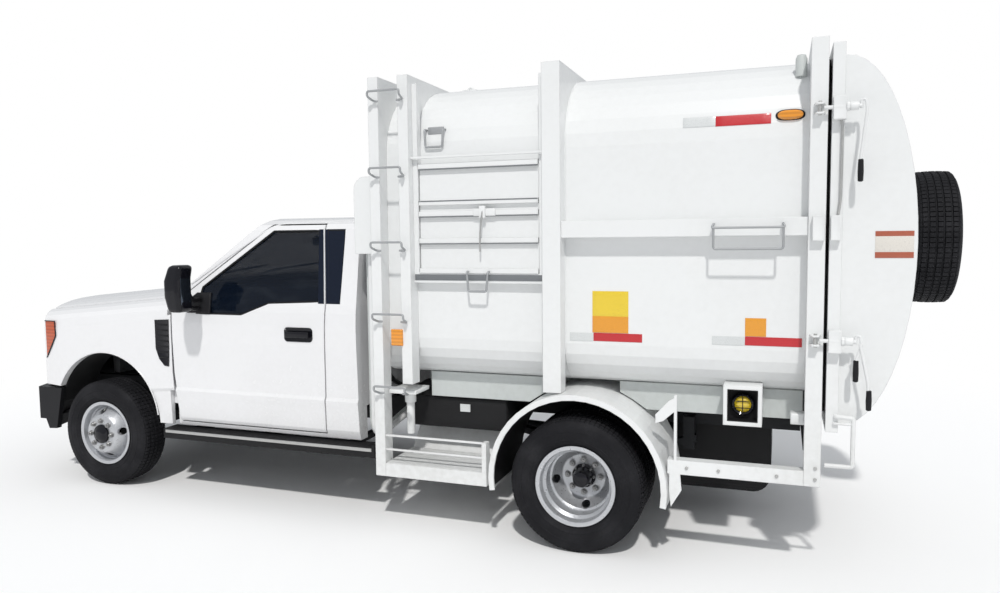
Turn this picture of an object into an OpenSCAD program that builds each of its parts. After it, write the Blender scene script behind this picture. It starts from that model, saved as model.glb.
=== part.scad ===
// Side-loading garbage truck on a dual-rear-wheel chassis cab.
// +X forward, +Y to the left, +Z up. The ground is Z = 0 and the truck's middle is X = 0.
// Stations along the truck are measured forwards from the rear axle.

/* [Chassis] */
// Distance between the front and rear axles
wheelbase = 3690; // [3300:10:4200]
// From the front axle to the front of the bumper
front_overhang = 970; // [900:10:1200]
// From the rear axle to the back of the spare wheel
rear_overhang = 2070; // [2040:10:2500]
// Half the distance between the frame rails' outer faces
rail_half_w = 465; // [400:5:500]
// Height of a frame rail's section
rail_h = 180; // [140:5:200]
// Thickness of a frame rail's web and flanges
rail_wall = 8; // [6:1:12]

/* [Wheels] */
// Outer diameter of every tyre
tyre_d = 800; // [720:10:840]
// Width of every tyre
tyre_w = 245; // [215:5:265]
// Outer diameter of the rim's flanges
rim_d = 475; // [440:5:500]
// Offset of the wheel disc from the tyre's middle
disc_offset = 136; // [120:2:150]
// Distance between the middles of the front tyres
front_track = 1900; // [1800:10:2000]
// Distance between the mounting faces of the rear discs
rear_track = 1880; // [1800:10:1900]
// Distance of each kingpin from the middle of the truck
kingpin_y = 790; // [760:5:800]

/* [Cab] */
// Full width of the cab at its widest line
cab_w = 2030; // [1900:10:2100]
// Height of the cab's roof
roof_z = 2010; // [1950:10:2100]
// Height of the bottom of the doors and sills
sill_z = 500; // [460:10:540]
// Station of the back of the cab
cab_back_x = 1520; // [1500:5:1560]
// Station of the doors' front edge
door_front_x = 3050; // [3000:5:3080]
// Thickness of the cab's walls and doors
cab_wall = 55; // [45:1:70]
// Running gap round a door
door_gap = 9; // [7:1:12]
// Thickness of the window glass
glass_t = 6; // [4:1:8]

/* [Load body] */
// Width over the hoops
body_w = 2300; // [2200:10:2400]
// Height of the hoops' top
hoop_top_z = 2838; // [2700:10:3000]
// Height of the load space's roof
shell_top_z = 2810; // [2650:10:2810]
// Height of the load space's underside
shell_floor_z = 970; // [960:5:1000]
// Thickness of the load space's wall
shell_wall = 30; // [20:1:40]
// Depth of a hoop beyond the load space's side
hoop_depth = 100; // [80:5:130]
// Width of the loading hatch along the truck
hatch_w = 770; // [600:10:800]
// Height of the loading hatch
hatch_h = 670; // [500:10:700]

/* [Tailgate] */
// Depth of the tailgate's bulge at its middle
bulge_depth = 345; // [250:5:400]
// Height of the tailgate's bulge
bulge_h = 1900; // [1700:10:1950]
// Gap between the rear hoop and the tailgate, filled by the seal
tailgate_gap = 18; // [12:1:25]

/* [Hidden] */

seat = 0.3;                 // gap where one piece rests on another
axle_z = tyre_d / 2;        // height of every wheel's centre
rear_axle_x = rear_overhang - (front_overhang + wheelbase + rear_overhang) / 2;
cab_half = cab_w / 2;
front_x = wheelbase + front_overhang; // front of the bumper
frame_front_x = front_x - 161;
fender_inner = cab_half - 50;
hood_half = cab_half - 147;
body_half = body_w / 2;
shell_half = body_half - hoop_depth;
rim_seat_r = rim_d / 2 - 15;
bead_half = tyre_w / 2 - 24; // half the width of the tyre at its beads
front_disc_y = front_track / 2 + disc_offset;
rear_disc_y = rear_track / 2;

// Rails: station, underside height
rail_line = [[-1230, 650], [1290, 650], [1490, 520], [3020, 520], [3140, 540],
             [frame_front_x, 540]];
rail_top_z = rail_line[0][1] + rail_h;

// Load body stations
hoop_t = 83;
rear_hoop_x = -1316;        // back face of the rear hoop
body_front_x = 1319;        // front face of the foremost hoop
front_hoop_x = 1045;        // back face of the front hoop
mid_hoop_x = 88;            // back face of the middle hoop
hoop_thin = 70;
thin_hoop_x = body_front_x - hoop_thin - 1; // back face of the foremost hoop
mid_hoop_t = 110;
hatch_x = (front_hoop_x + mid_hoop_x + mid_hoop_t) / 2;
hatch_z = 1630;
tailgate_x = rear_hoop_x - tailgate_gap;
tailgate_frame_t = 60;
spare_z = 1820;
spare_y = 100;

// Hinge lines
door_hinge = [door_front_x - 42, cab_half - 37];
hinge_z = [970, 1280];      // heights of the doors' hinges
hinge_pin_r = 7;
kingpin_x = wheelbase;
tailgate_hinge = [tailgate_x + tailgate_gap / 2, -body_half - 40];
tailgate_hinge_z = [1050, 1800, 2550];

module from_axle() translate([rear_axle_x, 0, 0]) children();

// Draws its children on the left side and again, mirrored, on the right.
module both_sides() {
    children();
    mirror([0, 1, 0]) children();
}

// A box given by its low and high corners.
module box(lo, hi) translate(lo) cube(hi - lo);

// A solid whose outline lies in the X-Z plane, from y0 to y1.
module side_plate(outline, y0, y1)
    translate([0, y1, 0]) rotate([90, 0, 0]) linear_extrude(y1 - y0) polygon(outline);

// A solid whose outline lies in the Y-Z plane, from x0 to x1.
module cross_plate(outline, x0, x1)
    translate([x0, 0, 0]) rotate([90, 0, 90]) linear_extrude(x1 - x0) polygon(outline);

// A round bar along Y.
module bar_y(r, y0, y1, x, z)
    translate([x, y0, z]) rotate([-90, 0, 0]) cylinder(r = r, h = y1 - y0, $fn = 48);

// Points of an arc in steps, from angle a0 to a1 about a centre.
function arc(cx, cz, rx, rz, a0, a1, steps) =
    [for (i = [0:steps]) let (a = a0 + (a1 - a0) * i / steps) [cx + rx * cos(a), cz + rz * sin(a)]];

function mirrored(points) = [for (i = [len(points) - 1:-1:0]) [-points[i][0], points[i][1]]];

// ---------------------------------------------------------------- chassis

function rail_outline(inset) = concat(
    [for (p = rail_line) [p[0], p[1] + inset]],
    [for (i = [len(rail_line) - 1:-1:0]) [rail_line[i][0], rail_line[i][1] + rail_h - inset]]);

module frame_rails() color([0.05, 0.05, 0.06]) from_axle() both_sides() difference() {
    side_plate(rail_outline(0), rail_half_w - 70, rail_half_w);
    translate([-10, 0, 0])
        side_plate([for (p = rail_outline(rail_wall)) [p[0] * 1.01, p[1]]],
                   rail_half_w - 80, rail_half_w - rail_wall);
}

// Crossmembers: station, height of the rail's underside there, lift over the driveshaft
crossmember_at = [[-1150, 650, 0], [-400, 650, 0], [500, 650, 0], [1250, 650, 0], [2200, 520, 40],
                  [4350, 540, 0]];
flange_gap = 7;             // between a crossmember and the rail's flanges

module crossmembers() color([0.06, 0.06, 0.07]) from_axle()
    for (c = crossmember_at) {
        half = rail_half_w - rail_wall - seat;
        box([c[0] - 30, -half, c[1] + rail_wall + flange_gap + c[2]],
            [c[0] + 30, half, c[1] + rail_h - rail_wall - flange_gap]);
    }

module engine_block() color([0.25, 0.25, 0.26]) from_axle() {
    box([3250, -300, 560], [4020, 300, 1130]);
    box([2560, -150, 470], [3250, 150, 690]);
    arm_y = rail_half_w - 70 - seat;
    box([3500, -arm_y, 600], [3620, arm_y, 715]);
}

module driveshaft() color([0.2, 0.2, 0.21]) from_axle()
    translate([165, 0, axle_z + 10]) rotate([0, 87.2, 0]) cylinder(r = 45, h = 2395, $fn = 48);

spring_t = 42;
front_seat_z = axle_z + 50; // top of the front axle's beam
rear_seat_z = axle_z + 60;  // top of the rear axle's spring pads

// Leaf springs: station of the axle, middle of the spring across, seat height, half length, end rise
spring_table = [[0, 520, rear_seat_z + seat, 620, 95], [wheelbase, 430, front_seat_z + seat, 520, 45]];

module leaf_springs() color([0.1, 0.1, 0.1]) from_axle() both_sides() for (s = spring_table) {
    sag = s[4];
    half = s[3];
    r = (half * half + sag * sag) / (2 * sag);
    angle = asin(half / r);
    under = arc(s[0], s[2] + r, r, r, -90 - angle, -90 + angle, 12);
    top = arc(s[0], s[2] + r + spring_t, r, r, -90 + angle, -90 - angle, 12);
    side_plate(concat(under, top), s[1] - 35, s[1] + 35);
    rail_under = s[0] == 0 ? 650 : 540;
    reach = s[0] == 0 ? rail_half_w + seat : s[1] - 35;
    lift = s[0] == 0 ? 60 : -seat;
    for (end = [-1, 1])
        box([s[0] + end * (half - 45) - 35, reach, s[2] + sag - 50],
            [s[0] + end * (half - 45) + 35, s[1] + 35, rail_under + lift]);
}

module front_axle() color([0.12, 0.12, 0.13]) from_axle() {
    beam_y = kingpin_y - 65;
    box([wheelbase - 45, -beam_y, axle_z - 55], [wheelbase + 45, beam_y, front_seat_z]);
    both_sides() {
        for (side = [-1, 1])
            translate([0, 0, side * 87])
                box([wheelbase - 40, beam_y - 60, axle_z - 11],
                    [wheelbase + 40, kingpin_y + 28, axle_z + 11]);
        box([wheelbase - 40, beam_y - 60, axle_z - 98], [wheelbase + 40, beam_y, axle_z + 98]);
        translate([kingpin_x, kingpin_y, axle_z - 98]) cylinder(r = 20, h = 196, $fn = 48);
    }
}

// The part that turns about the kingpin and carries the front wheel.
module knuckle() from_axle() difference() {
    union() {
        translate([kingpin_x, kingpin_y, axle_z - 70]) cylinder(r = 42, h = 140, $fn = 64);
        bar_y(34, kingpin_y, front_disc_y + 6, kingpin_x, axle_z);
        bar_y(62, kingpin_y + 34, kingpin_y + 62, kingpin_x, axle_z);
    }
    translate([kingpin_x, kingpin_y, axle_z - 80]) cylinder(r = 20 + seat, h = 160, $fn = 64);
}
module knuckle_left() color([0.15, 0.15, 0.16]) knuckle();
module knuckle_right() color([0.15, 0.15, 0.16]) mirror([0, 1, 0]) knuckle();

module rear_axle() color([0.12, 0.12, 0.13]) from_axle() {
    bar_y(55, -690, 690, 0, axle_z);
    bar_y(40, -rear_disc_y - 100, rear_disc_y + 100, 0, axle_z);
    translate([0, 0, axle_z]) sphere(r = 165, $fn = 48);
    both_sides() box([-50, 485, axle_z + 20], [50, 555, rear_seat_z]);
}

module fuel_tank() color([0.04, 0.04, 0.05]) from_axle() {
    top = 645;
    side = 380;
    round = 170;
    under = 170;
    back = -1065;
    front = -470;
    outline = concat([[-side, top]], arc(-side + round, under + round, round, round, 180, 270, 8),
                     arc(side - round, under + round, round, round, 270, 360, 8), [[side, top]]);
    intersection() {
        cross_plate(outline, back, front);
        side_plate(concat([[back, top]], arc(back + round, under + round, round, round, 180, 270, 8),
                          arc(front - 60, under + 60, 60, 60, 270, 360, 4), [[front, top]]),
                   -side - 1, side + 1);
    }
    box([-470, -200, 560], [-370, 200, 650 + rail_wall + flange_gap - seat]);
}

// ---------------------------------------------------------------- wheels

// A tyre about the Y axis, standing at the given distance from the truck's middle.
module tyre(y) {
    half = tyre_w / 2;
    bore = rim_seat_r + seat;
    bulge = half - 8;
    section = concat([[bore, -bead_half], [rim_d / 2 + 4, -bead_half], [rim_d / 2 + 24, -bulge]],
        [[bore + 95, -half]],
        arc(tyre_d / 2 - 34, -half + 42, 34, 36, -75, 0, 5),
        arc(tyre_d / 2 - 34, half - 42, 34, 36, 0, 75, 5),
        [[bore + 95, half], [rim_d / 2 + 24, bulge], [rim_d / 2 + 4, bead_half], [bore, bead_half]]);
    translate([0, y, axle_z]) rotate([-90, 0, 0]) rotate_extrude($fn = 96) polygon(section);
}

// A rim whose tyre's middle is at y, with its disc off towards toward (+1 outwards, -1 inwards).
module rim(y, toward) {
    half = bead_half + seat;
    flange = rim_d / 2;
    well = rim_seat_r - 26;
    side = [[rim_seat_r - 8, half], [rim_seat_r - 8, half + 7], [flange, half + 7], [flange, half],
            [rim_seat_r, half], [rim_seat_r, half - 34], [well, half - 54]];
    barrel = concat([[well - 6, half - 50]], side, [for (i = [6:-1:0]) [side[i][0], -side[i][1]]],
                    [[well - 6, 50 - half]]);
    translate([0, y, axle_z]) rotate([-90, 0, 0]) difference() {
        union() {
            rotate_extrude($fn = 96) polygon(barrel);
            rotate_extrude($fn = 96) polygon([for (p = rim_disc(well)) [p[0], toward * p[1]]]);
        }
        for (a = [0:90:270])
            rotate([0, 0, a + 22]) translate([well - 30, 0, -disc_offset - 20])
                cylinder(r = 21, h = 2 * disc_offset + 40, $fn = 32);
    }
}

// Half section of the wheel disc: radius, distance outwards from the tyre's middle
function rim_disc(well) = [
    [71, disc_offset - 14], [132, disc_offset - 14], [well - 52, disc_offset - 38],
    [well - 16, 40], [well - 2, 34], [well - 2, 52], [well - 12, 60],
    [well - 44, disc_offset - 22], [140, disc_offset], [71, disc_offset]];

module front_tyre() from_axle() translate([wheelbase, 0, 0]) tyre(front_track / 2);
module front_tyre_left() color([0.05, 0.05, 0.05]) front_tyre();
module front_tyre_right() color([0.05, 0.05, 0.05]) mirror([0, 1, 0]) front_tyre();

// Rim and hub of a front wheel; the hub turns on the knuckle's spindle.
module front_rim() from_axle() translate([wheelbase, 0, 0]) {
    rim(front_track / 2, 1);
    difference() {
        bar_y(71.5, front_disc_y - 110, front_disc_y + 34, 0, axle_z);
        bar_y(34 + seat, front_disc_y - 120, front_disc_y + 12, 0, axle_z);
    }
}
module front_rim_left() color([0.75, 0.76, 0.78]) front_rim();
module front_rim_right() color([0.75, 0.76, 0.78]) mirror([0, 1, 0]) front_rim();

module rear_tyres() from_axle() for (side = [-1, 1]) tyre(rear_disc_y + side * disc_offset);
module rear_tyres_left() color([0.05, 0.05, 0.05]) rear_tyres();
module rear_tyres_right() color([0.05, 0.05, 0.05]) mirror([0, 1, 0]) rear_tyres();

// Both rims of a twin wheel and the hub that they are bolted to.
module rear_rims() from_axle() {
    rim(rear_disc_y + disc_offset, -1);
    rim(rear_disc_y - disc_offset, 1);
    difference() {
        bar_y(71.5, rear_disc_y - 130, rear_disc_y + 120, 0, axle_z);
        bar_y(40 + seat, rear_disc_y - 140, rear_disc_y + 105, 0, axle_z);
    }
}
module rear_rims_left() color([0.75, 0.76, 0.78]) rear_rims();
module rear_rims_right() color([0.75, 0.76, 0.78]) mirror([0, 1, 0]) rear_rims();

module spare_wheel() color([0.08, 0.08, 0.08]) from_axle() {
    half = tyre_w / 2;
    middle = -rear_overhang + half;
    translate([middle, spare_y, spare_z]) rotate([0, 0, 90]) translate([0, 0, -axle_z]) {
        tyre(0);
        rim(0, -1);
    }
    translate([middle, spare_y, spare_z]) rotate([0, 90, 0]) difference() {
        cylinder(r = rim_seat_r + 2, h = 12, center = true, $fn = 96);
        cylinder(r = rim_seat_r - 45, h = 14, center = true, $fn = 96);
    }
}

// ---------------------------------------------------------------- cab

// Cab cross-section: height, distance in from the widest line
cab_side = [[0, 34], [60, 16], [200, 6], [258, 0], [282, 12], [420, 9], [620, 2],
            [760, 2], [850, 8], [900, 17], [1100, 78], [1410, 172], [1450, 202]];

function cab_half_section(inset) = concat(
    [for (p = cab_side) [cab_half - p[1] - inset, sill_z + p[0]]],
    [[cab_half - 290 - inset / 2, roof_z - 28 - inset], [cab_half - 440 - inset / 2, roof_z - 10 - inset],
     [0, roof_z - inset]]);

function cab_section(inset) =
    let (right = cab_half_section(inset)) concat(right, mirrored(right));

// The cab's outer form, moved inwards by inset, between two stations.
module cab_prism(inset, x0, x1) cross_plate(cab_section(inset), x0, x1);

wind_dir = 36.3;            // slope of the windshield from level
wind_n = 2965;              // distance of the windshield's edges from the axle line, square to its slope
wind_bulge = 100;           // how far the windshield's middle stands forward of its edges

// Solid behind the windshield's surface, moved back by inset. Its front bulges in the middle.
module behind_windshield(inset) {
    steps = 10;
    half = cab_half + 60;
    face = [for (i = [-steps:steps])
        let (y = half * i / steps) [y, wind_n + wind_bulge * (1 - pow(y / 950, 2)) - inset]];
    outline = concat(face, [[half, -2000], [-half, -2000]]);
    // Local X is across, local Y is square to the glass, and the extrusion runs down its slope.
    multmatrix([[0, sin(wind_dir), cos(wind_dir), 0],
                [1, 0, 0, 0],
                [0, cos(wind_dir), -sin(wind_dir), 0],
                [0, 0, 0, 1]])
        translate([0, 0, -4000]) linear_extrude(9000) polygon(outline);
}

firewall_x = door_front_x + door_gap + 95;
cowl_z = 1500;

// Side view of the cab's outline
cab_profile = [[cab_back_x, sill_z], [door_front_x + door_gap, sill_z],
               [door_front_x + door_gap, sill_z + 150],
               [firewall_x, sill_z + 150], [firewall_x, cowl_z - 45], [firewall_x - 20, cowl_z],
               [firewall_x - 20, roof_z + 5], [cab_back_x + 90, roof_z + 5],
               [cab_back_x + 55, roof_z - 60],
               [cab_back_x + 6, sill_z + 900]];
cab_cavity = [[cab_back_x + cab_wall, sill_z + 250], [firewall_x - 50, sill_z + 250],
              [firewall_x - 50, cowl_z - 70], [firewall_x - 70, roof_z], [cab_back_x + 130, roof_z],
              [cab_back_x + cab_wall + 6, sill_z + 900]];

// Door outline in side view, moved inwards by g: the cut line on the cab's side
function door_outline(g) = [
    [cab_back_x + 263 + g, sill_z + 35 + g], [door_front_x - 36 - g, sill_z + 35 + g],
    [door_front_x - g, sill_z + 390], [door_front_x - g, sill_z + 885 - g / 3],
    [2958 - 0.8 * g, 1445 - 0.5 * g], [2278 - 0.8 * g, 1945 - g],
    [cab_back_x + 335 + g, 1945 - g], [cab_back_x + 245 + g, 1400]];

door_window = [[cab_back_x + 292, 1425], [2215, 1408], [2440, 1325], [2830, 1325], [2800, 1512],
               [2262, 1905], [cab_back_x + 364, 1905]];
quarter_window = [[cab_back_x + 135, 1425], [cab_back_x + 213, 1423], [cab_back_x + 300, 1905],
                  [cab_back_x + 166, 1905]];

module cab_shell() color([0.93, 0.93, 0.94]) from_axle() {
    difference() {
        intersection() {
            cab_prism(0, cab_back_x - 10, firewall_x + 10);
            side_plate(cab_profile, -cab_half, cab_half);
            behind_windshield(0);
        }
        intersection() {
            cab_prism(cab_wall, cab_back_x + 10, firewall_x);
            side_plate(cab_cavity, -cab_half, cab_half);
            behind_windshield(42);
        }
        // Room beside the footwell for the fenders, and for the door's front edge as it swings in
        both_sides() side_plate([[door_front_x - 36, 0], [door_front_x - 36, sill_z + 40],
                                 [door_front_x - 10, sill_z + 390], [door_front_x + door_gap, 1600],
                                 [firewall_x + 5, 1600], [firewall_x + 5, 0]],
                                fender_inner - seat, cab_half + 10);
        both_sides() box([door_front_x + door_gap, hood_half - 6, crown_z - 246],
                         [firewall_x + 5, cab_half + 10, 1600]);
        both_sides() box([door_front_x - 60, 905, sill_z + 300], [door_front_x + 28, cab_half + 10, 1388]);
        both_sides() side_plate(door_outline(-door_gap), 600, cab_half + 10);
        both_sides() side_plate(quarter_window, 700, cab_half + 10);
        glass_layer(0, -30, 60);
        box([cab_back_x - 20, -560, 1440], [cab_back_x + 200, 560, 1880]);
        // Under the floor, between the sills
        box([cab_back_x - 20, -cab_half + 120, 0], [firewall_x + 20, cab_half - 120, 720]);
    }
    // Mounts on the frame rails
    both_sides() for (x = [1720, 2940])
        translate([x, rail_half_w - 35, 700 + seat]) cylinder(r = 30, h = 30, $fn = 48);
    // Hinge eyes for the doors
    both_sides() for (z = hinge_z) difference() {
        union() {
            box([door_hinge[0] - 12, 885, z - 25], [firewall_x - 40, 903 + 25, z + 25]);
            box([door_hinge[0] - 12, 903, z - 25], [door_hinge[0] + 12, door_hinge[1], z + 25]);
            translate([door_hinge[0], door_hinge[1], z - 25]) cylinder(r = 12, h = 50, $fn = 48);
        }
        translate([door_hinge[0], door_hinge[1], z - 30])
            cylinder(r = hinge_pin_r + seat, h = 60, $fn = 48);
    }
}

glass_z = [1530, 1925];     // heights of the windshield's lower and upper edges

// The windshield, between two depths behind the cab's front surface, smaller all round by g.
module glass_layer(g, from, to) difference() {
    intersection() {
        behind_windshield(from);
        cross_plate([[g - 885, glass_z[0] + g], [885 - g, glass_z[0] + g],
                     [760 - g, glass_z[1] - g], [g - 760, glass_z[1] - g]], 2250, 3400);
    }
    behind_windshield(to);
}

module windshield() color([0.1, 0.13, 0.14]) from_axle() glass_layer(seat, 4, 4 + glass_t);

module cab_windows() color([0.08, 0.1, 0.11]) from_axle() {
    both_sides() intersection() {
        difference() {
            cab_prism(10, cab_back_x, 2300);
            cab_prism(10 + glass_t, cab_back_x - 1, 2301);
        }
        side_plate(quarter_window, 500, cab_half);
    }
    box([cab_back_x + 24, -560 + seat, 1440 + seat], [cab_back_x + 24 + glass_t, 560 - seat, 1880 - seat]);
}

// Left door: a skin and, inside it, a smaller thick part, so that it swings clear of its opening.
module door() from_axle() difference() {
    union() {
        intersection() {
            difference() {
                cab_prism(0, 1500, 3200);
                cab_prism(20, 1499, 3201);
            }
            side_plate(door_outline(0), 500, cab_half + 10);
        }
        intersection() {
            difference() {
                cab_prism(19, 1500, 3200);
                cab_prism(cab_wall, 1499, 3201);
            }
            side_plate(door_outline(20), 500, cab_half + 10);
        }
    }
    side_plate(door_window, 500, cab_half + 20);
    for (z = hinge_z)
        box([door_hinge[0] - 20, 500, z - 33], [door_front_x + 5, door_hinge[1] + 17, z + 33]);
}

// The door with its hinge pins, which cross the notches that the cab's hinge eyes reach into.
module hung_door() {
    door();
    from_axle() for (z = hinge_z)
        translate([door_hinge[0], door_hinge[1], z - 40]) cylinder(r = hinge_pin_r, h = 80, $fn = 48);
}
module door_left() color([0.93, 0.93, 0.94]) hung_door();
module door_right() color([0.93, 0.93, 0.94]) mirror([0, 1, 0]) hung_door();

module door_glass() from_axle() intersection() {
    difference() {
        cab_prism(12, 1500, 3200);
        cab_prism(12 + glass_t, 1499, 3201);
    }
    side_plate(door_window, 500, cab_half);
}
module door_glass_left() color([0.08, 0.1, 0.11]) door_glass();
module door_glass_right() color([0.08, 0.1, 0.11]) mirror([0, 1, 0]) door_glass();

// Towing mirror: a head on a double arm that is screwed to the door's front corner.
module mirror_arm() from_axle() {
    head = [[2740, 1355], [2815, 1355], [2838, 1400], [2838, 1620],
            [2810, 1680], [2755, 1680], [2725, 1640]];
    side_plate(head, cab_half + 135, cab_half + 275);
    box([2775, cab_half - 6, 1390], [2830, cab_half + 140, 1440]);
    box([2775, cab_half - 6, 1330], [2880, cab_half + 12, 1442]);
}
module mirror_left() color([0.03, 0.03, 0.03]) mirror_arm();
module mirror_right() color([0.03, 0.03, 0.03]) mirror([0, 1, 0]) mirror_arm();

// ---------------------------------------------------------------- front end

nose_x = front_x - 100;
nose_sweep = 240;           // how far the nose falls back at one metre from the middle
function nose_at(y, x) = x - nose_sweep * pow(y / 1000, 2);

// Plan line across the nose, of the given front station and half width
function nose_line(x, half, steps = 10) =
    [for (i = [-steps:steps]) let (y = half * i / steps) [nose_at(y, x), y]];

// Plan outline of a curved band along that line, of the given depth
function nose_band(x, half, depth) =
    concat(nose_line(x, half), [for (p = turned(nose_line(x, half))) [p[0] - depth, p[1]]]);

module plan_plate(outline, z0, z1) translate([0, 0, z0]) linear_extrude(z1 - z0) polygon(outline);

bumper_half = cab_half - 20;

module front_bumper() color([0.03, 0.03, 0.03]) from_axle() {
    difference() {
        union() {
            plan_plate(nose_band(front_x, bumper_half, 70), 450, 705);
            plan_plate(nose_band(front_x - 60, bumper_half - 60, 60), 367, 450);
            corner_x = nose_at(bumper_half, front_x) - 40;
            both_sides() side_plate([[front_x - 410, 380], [front_x - 330, 375], [corner_x, 500],
                                     [corner_x, 705], [front_x - 480, 705]],
                                    bumper_half - 40, bumper_half);
        }
        box([front_x - 90, -260, 480], [front_x + 10, 260, 600]);
    }
    both_sides() box([frame_front_x + seat, rail_half_w - 70, 560],
                     [nose_at(rail_half_w - 70, front_x) - 30, rail_half_w, 690]);
}

lamp_half = [610, cab_half - 60];
lamp_z = [962, 1239];
hood_lip_z = 1274;
grille_z = [722, 1262];

// The front panel between the fenders, with the bonnet's rubber stops on its top edge.
module grille() color([0.05, 0.05, 0.055]) from_axle() {
    nose_panel();
    both_sides() translate([nose_at(500, nose_x) - 60, 500, grille_z[1] - 5])
        cylinder(r = 12, h = hood_lip_z - seat - grille_z[1] + 5, $fn = 32);
}

module nose_panel() difference() {
    plan_plate(nose_band(nose_x, fender_inner - seat, 90), grille_z[0], grille_z[1]);
    both_sides() box([nose_x - 660, lamp_half[0] - seat, lamp_z[0] - seat],
                     [front_x, lamp_half[1] + 60, lamp_z[1] + seat]);
    // Grille openings
    for (z = [980, 1070, 1160])
        box([nose_x - 260, -520, z], [front_x, 520, z + 60]);
}

module headlamps() color([0.8, 0.82, 0.85]) from_axle() both_sides()
    intersection() {
        plan_plate(nose_band(nose_x, fender_inner - seat, 100), lamp_z[0], lamp_z[1]);
        box([nose_x - 660, lamp_half[0], lamp_z[0]], [front_x, fender_inner - seat, lamp_z[1]]);
    }

// Cross-section of the bonnet and of a fender: distance from the middle, drop from the crown
hood_crown = [[0, 0], [300, 4], [500, 14], [650, 30], [760, 50], [830, 66], [hood_half - 4, 78]];
fender_outer = [[hood_half + 6, 84], [930, 104], [975, 132], [1000, 168], [1011, 230], [cab_half - 2, 330],
                [cab_half - 2, 700], [cab_half, 742], [cab_half - 10, 766], [cab_half - 22, 1040]];
fender_back = [[fender_inner, 1040], [fender_inner, 700], [fender_inner, 240], [948, 180], [920, 148],
               [hood_half + 6, 124]];
hood_t = 38;
crown_z = 1506;             // crown of the bonnet at its rear edge
hood_rear_x = 3164;
hood_front_x = nose_x - 30;
hood_fall = 127;            // how far the crown falls from the cowl to the nose
hood_slope = atan(hood_fall / (nose_x - hood_rear_x));

function hood_layer(drop) = [for (p = hood_crown) [p[0], -p[1] - drop]];
function turned(points) = [for (i = [len(points) - 1:-1:0]) points[i]];

// Extrudes a section along the bonnet's slope, starting at the cowl.
module along_hood(section)
    translate([hood_rear_x - 200, 0, crown_z + 200 * tan(hood_slope)])
        multmatrix([[1, 0, 0, 0], [0, 1, 0, 0], [-tan(hood_slope), 0, 1, 0], [0, 0, 0, 1]])
            rotate([90, 0, 90]) linear_extrude(front_x - hood_rear_x + 204) polygon(section);

module hood() color([0.93, 0.93, 0.94]) from_axle() {
    half = concat(hood_layer(0), turned(hood_layer(hood_t)));
    intersection() {
        union() {
            along_hood(half);
            along_hood(mirrored(half));
        }
        plan_plate(concat([[hood_rear_x, -hood_half + 4]],
                          nose_line(hood_front_x, hood_half - 4, 7),
                          [[hood_rear_x, hood_half - 4]]), 1200, 1600);
    }
    // Front lip, down to the grille's stops
    plan_plate(nose_band(hood_front_x, hood_half - 60, 70), hood_lip_z, 1305);
    plan_plate(nose_band(hood_front_x, 560, 70), 1300, 1340);
}

arch_x = wheelbase + 25;
arch_z = 500;
arch_r = 505;

module front_fenders() color([0.93, 0.93, 0.94]) from_axle() both_sides() difference() {
    rear = door_front_x + door_gap + 3;
    intersection() {
        along_hood([for (p = concat(fender_outer, fender_back)) [p[0], -p[1]]]);
        side_plate([[rear - 30, sill_z], [arch_x, sill_z], [arch_x + 400, 722],
                    [front_x - 260, 745], [front_x - 260, 1550],
                    [rear, 1550], [rear, sill_z + 390]], 700, cab_half + 10);
        plan_plate([[2500, 700], [nose_at(700, nose_x), 700], [nose_at(850, nose_x), 850],
                    [nose_at(940, nose_x), 940], [nose_at(cab_half, nose_x) - 12, cab_half + 5],
                    [2500, cab_half + 5]], 0, 1700);
    }
    // Only a thin skin at the rear edge, behind which the door's front edge swings in
    box([rear - 40, 700, 0], [door_front_x + 45, cab_half - 9, 1392]);
    bar_y(arch_r, 600, cab_half + 20, arch_x, arch_z);
    box([arch_x - arch_r, 600, 0], [arch_x + arch_r, cab_half + 20, arch_z]);
    box([nose_at(lamp_half[0], nose_x) - 190, 600, lamp_z[0] - seat],
        [front_x, fender_inner + seat, lamp_z[1] + seat]);
    box([front_x - 660, 600, 0], [front_x, fender_inner, grille_z[1] + seat]);
}

// ---------------------------------------------------------------- cab interior

module bench_seat() color([0.2, 0.2, 0.21]) from_axle() {
    box([1720, -800, 750 + seat], [2280, 800, 1000]);
    side_plate([[1640, 900], [1800, 900], [1760, 1500], [1650, 1500]], -800, 800);
}

module dashboard() color([0.12, 0.12, 0.12]) from_axle() {
    side_plate([[2760, 1120], [firewall_x - 50 - seat, 1080], [firewall_x - 50 - seat, 1300],
                [3030, 1385], [2900, 1385], [2760, 1300]], -840, 840);
    translate([2790, 400, 1180]) rotate([0, -65, 0]) cylinder(r = 30, h = 190, $fn = 32);
}

module steering_wheel() color([0.06, 0.06, 0.06]) from_axle()
    translate([2790, 400, 1180]) rotate([0, -65, 0]) translate([0, 0, 190 + seat]) {
        rotate_extrude($fn = 64) translate([180, 14]) circle(r = 14, $fn = 16);
        for (a = [90, 210, 330]) rotate([0, 0, a]) translate([0, -14, 6]) cube([176, 28, 14]);
        cylinder(r = 45, h = 28, $fn = 32);
    }

module running_boards() color([0.07, 0.07, 0.07]) from_axle() both_sides() {
    inner = rail_half_w + seat;
    box([1380, 925, 410], [3120, 1060, 480]);
    for (x = [1650, 2350, 2960]) {
        box([x - 25, inner, 425], [x + 25, 930, 465]);
        box([x - 25, inner, 425], [x + 25, inner + 20, 640]);
    }
}

// ---------------------------------------------------------------- load body

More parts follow.
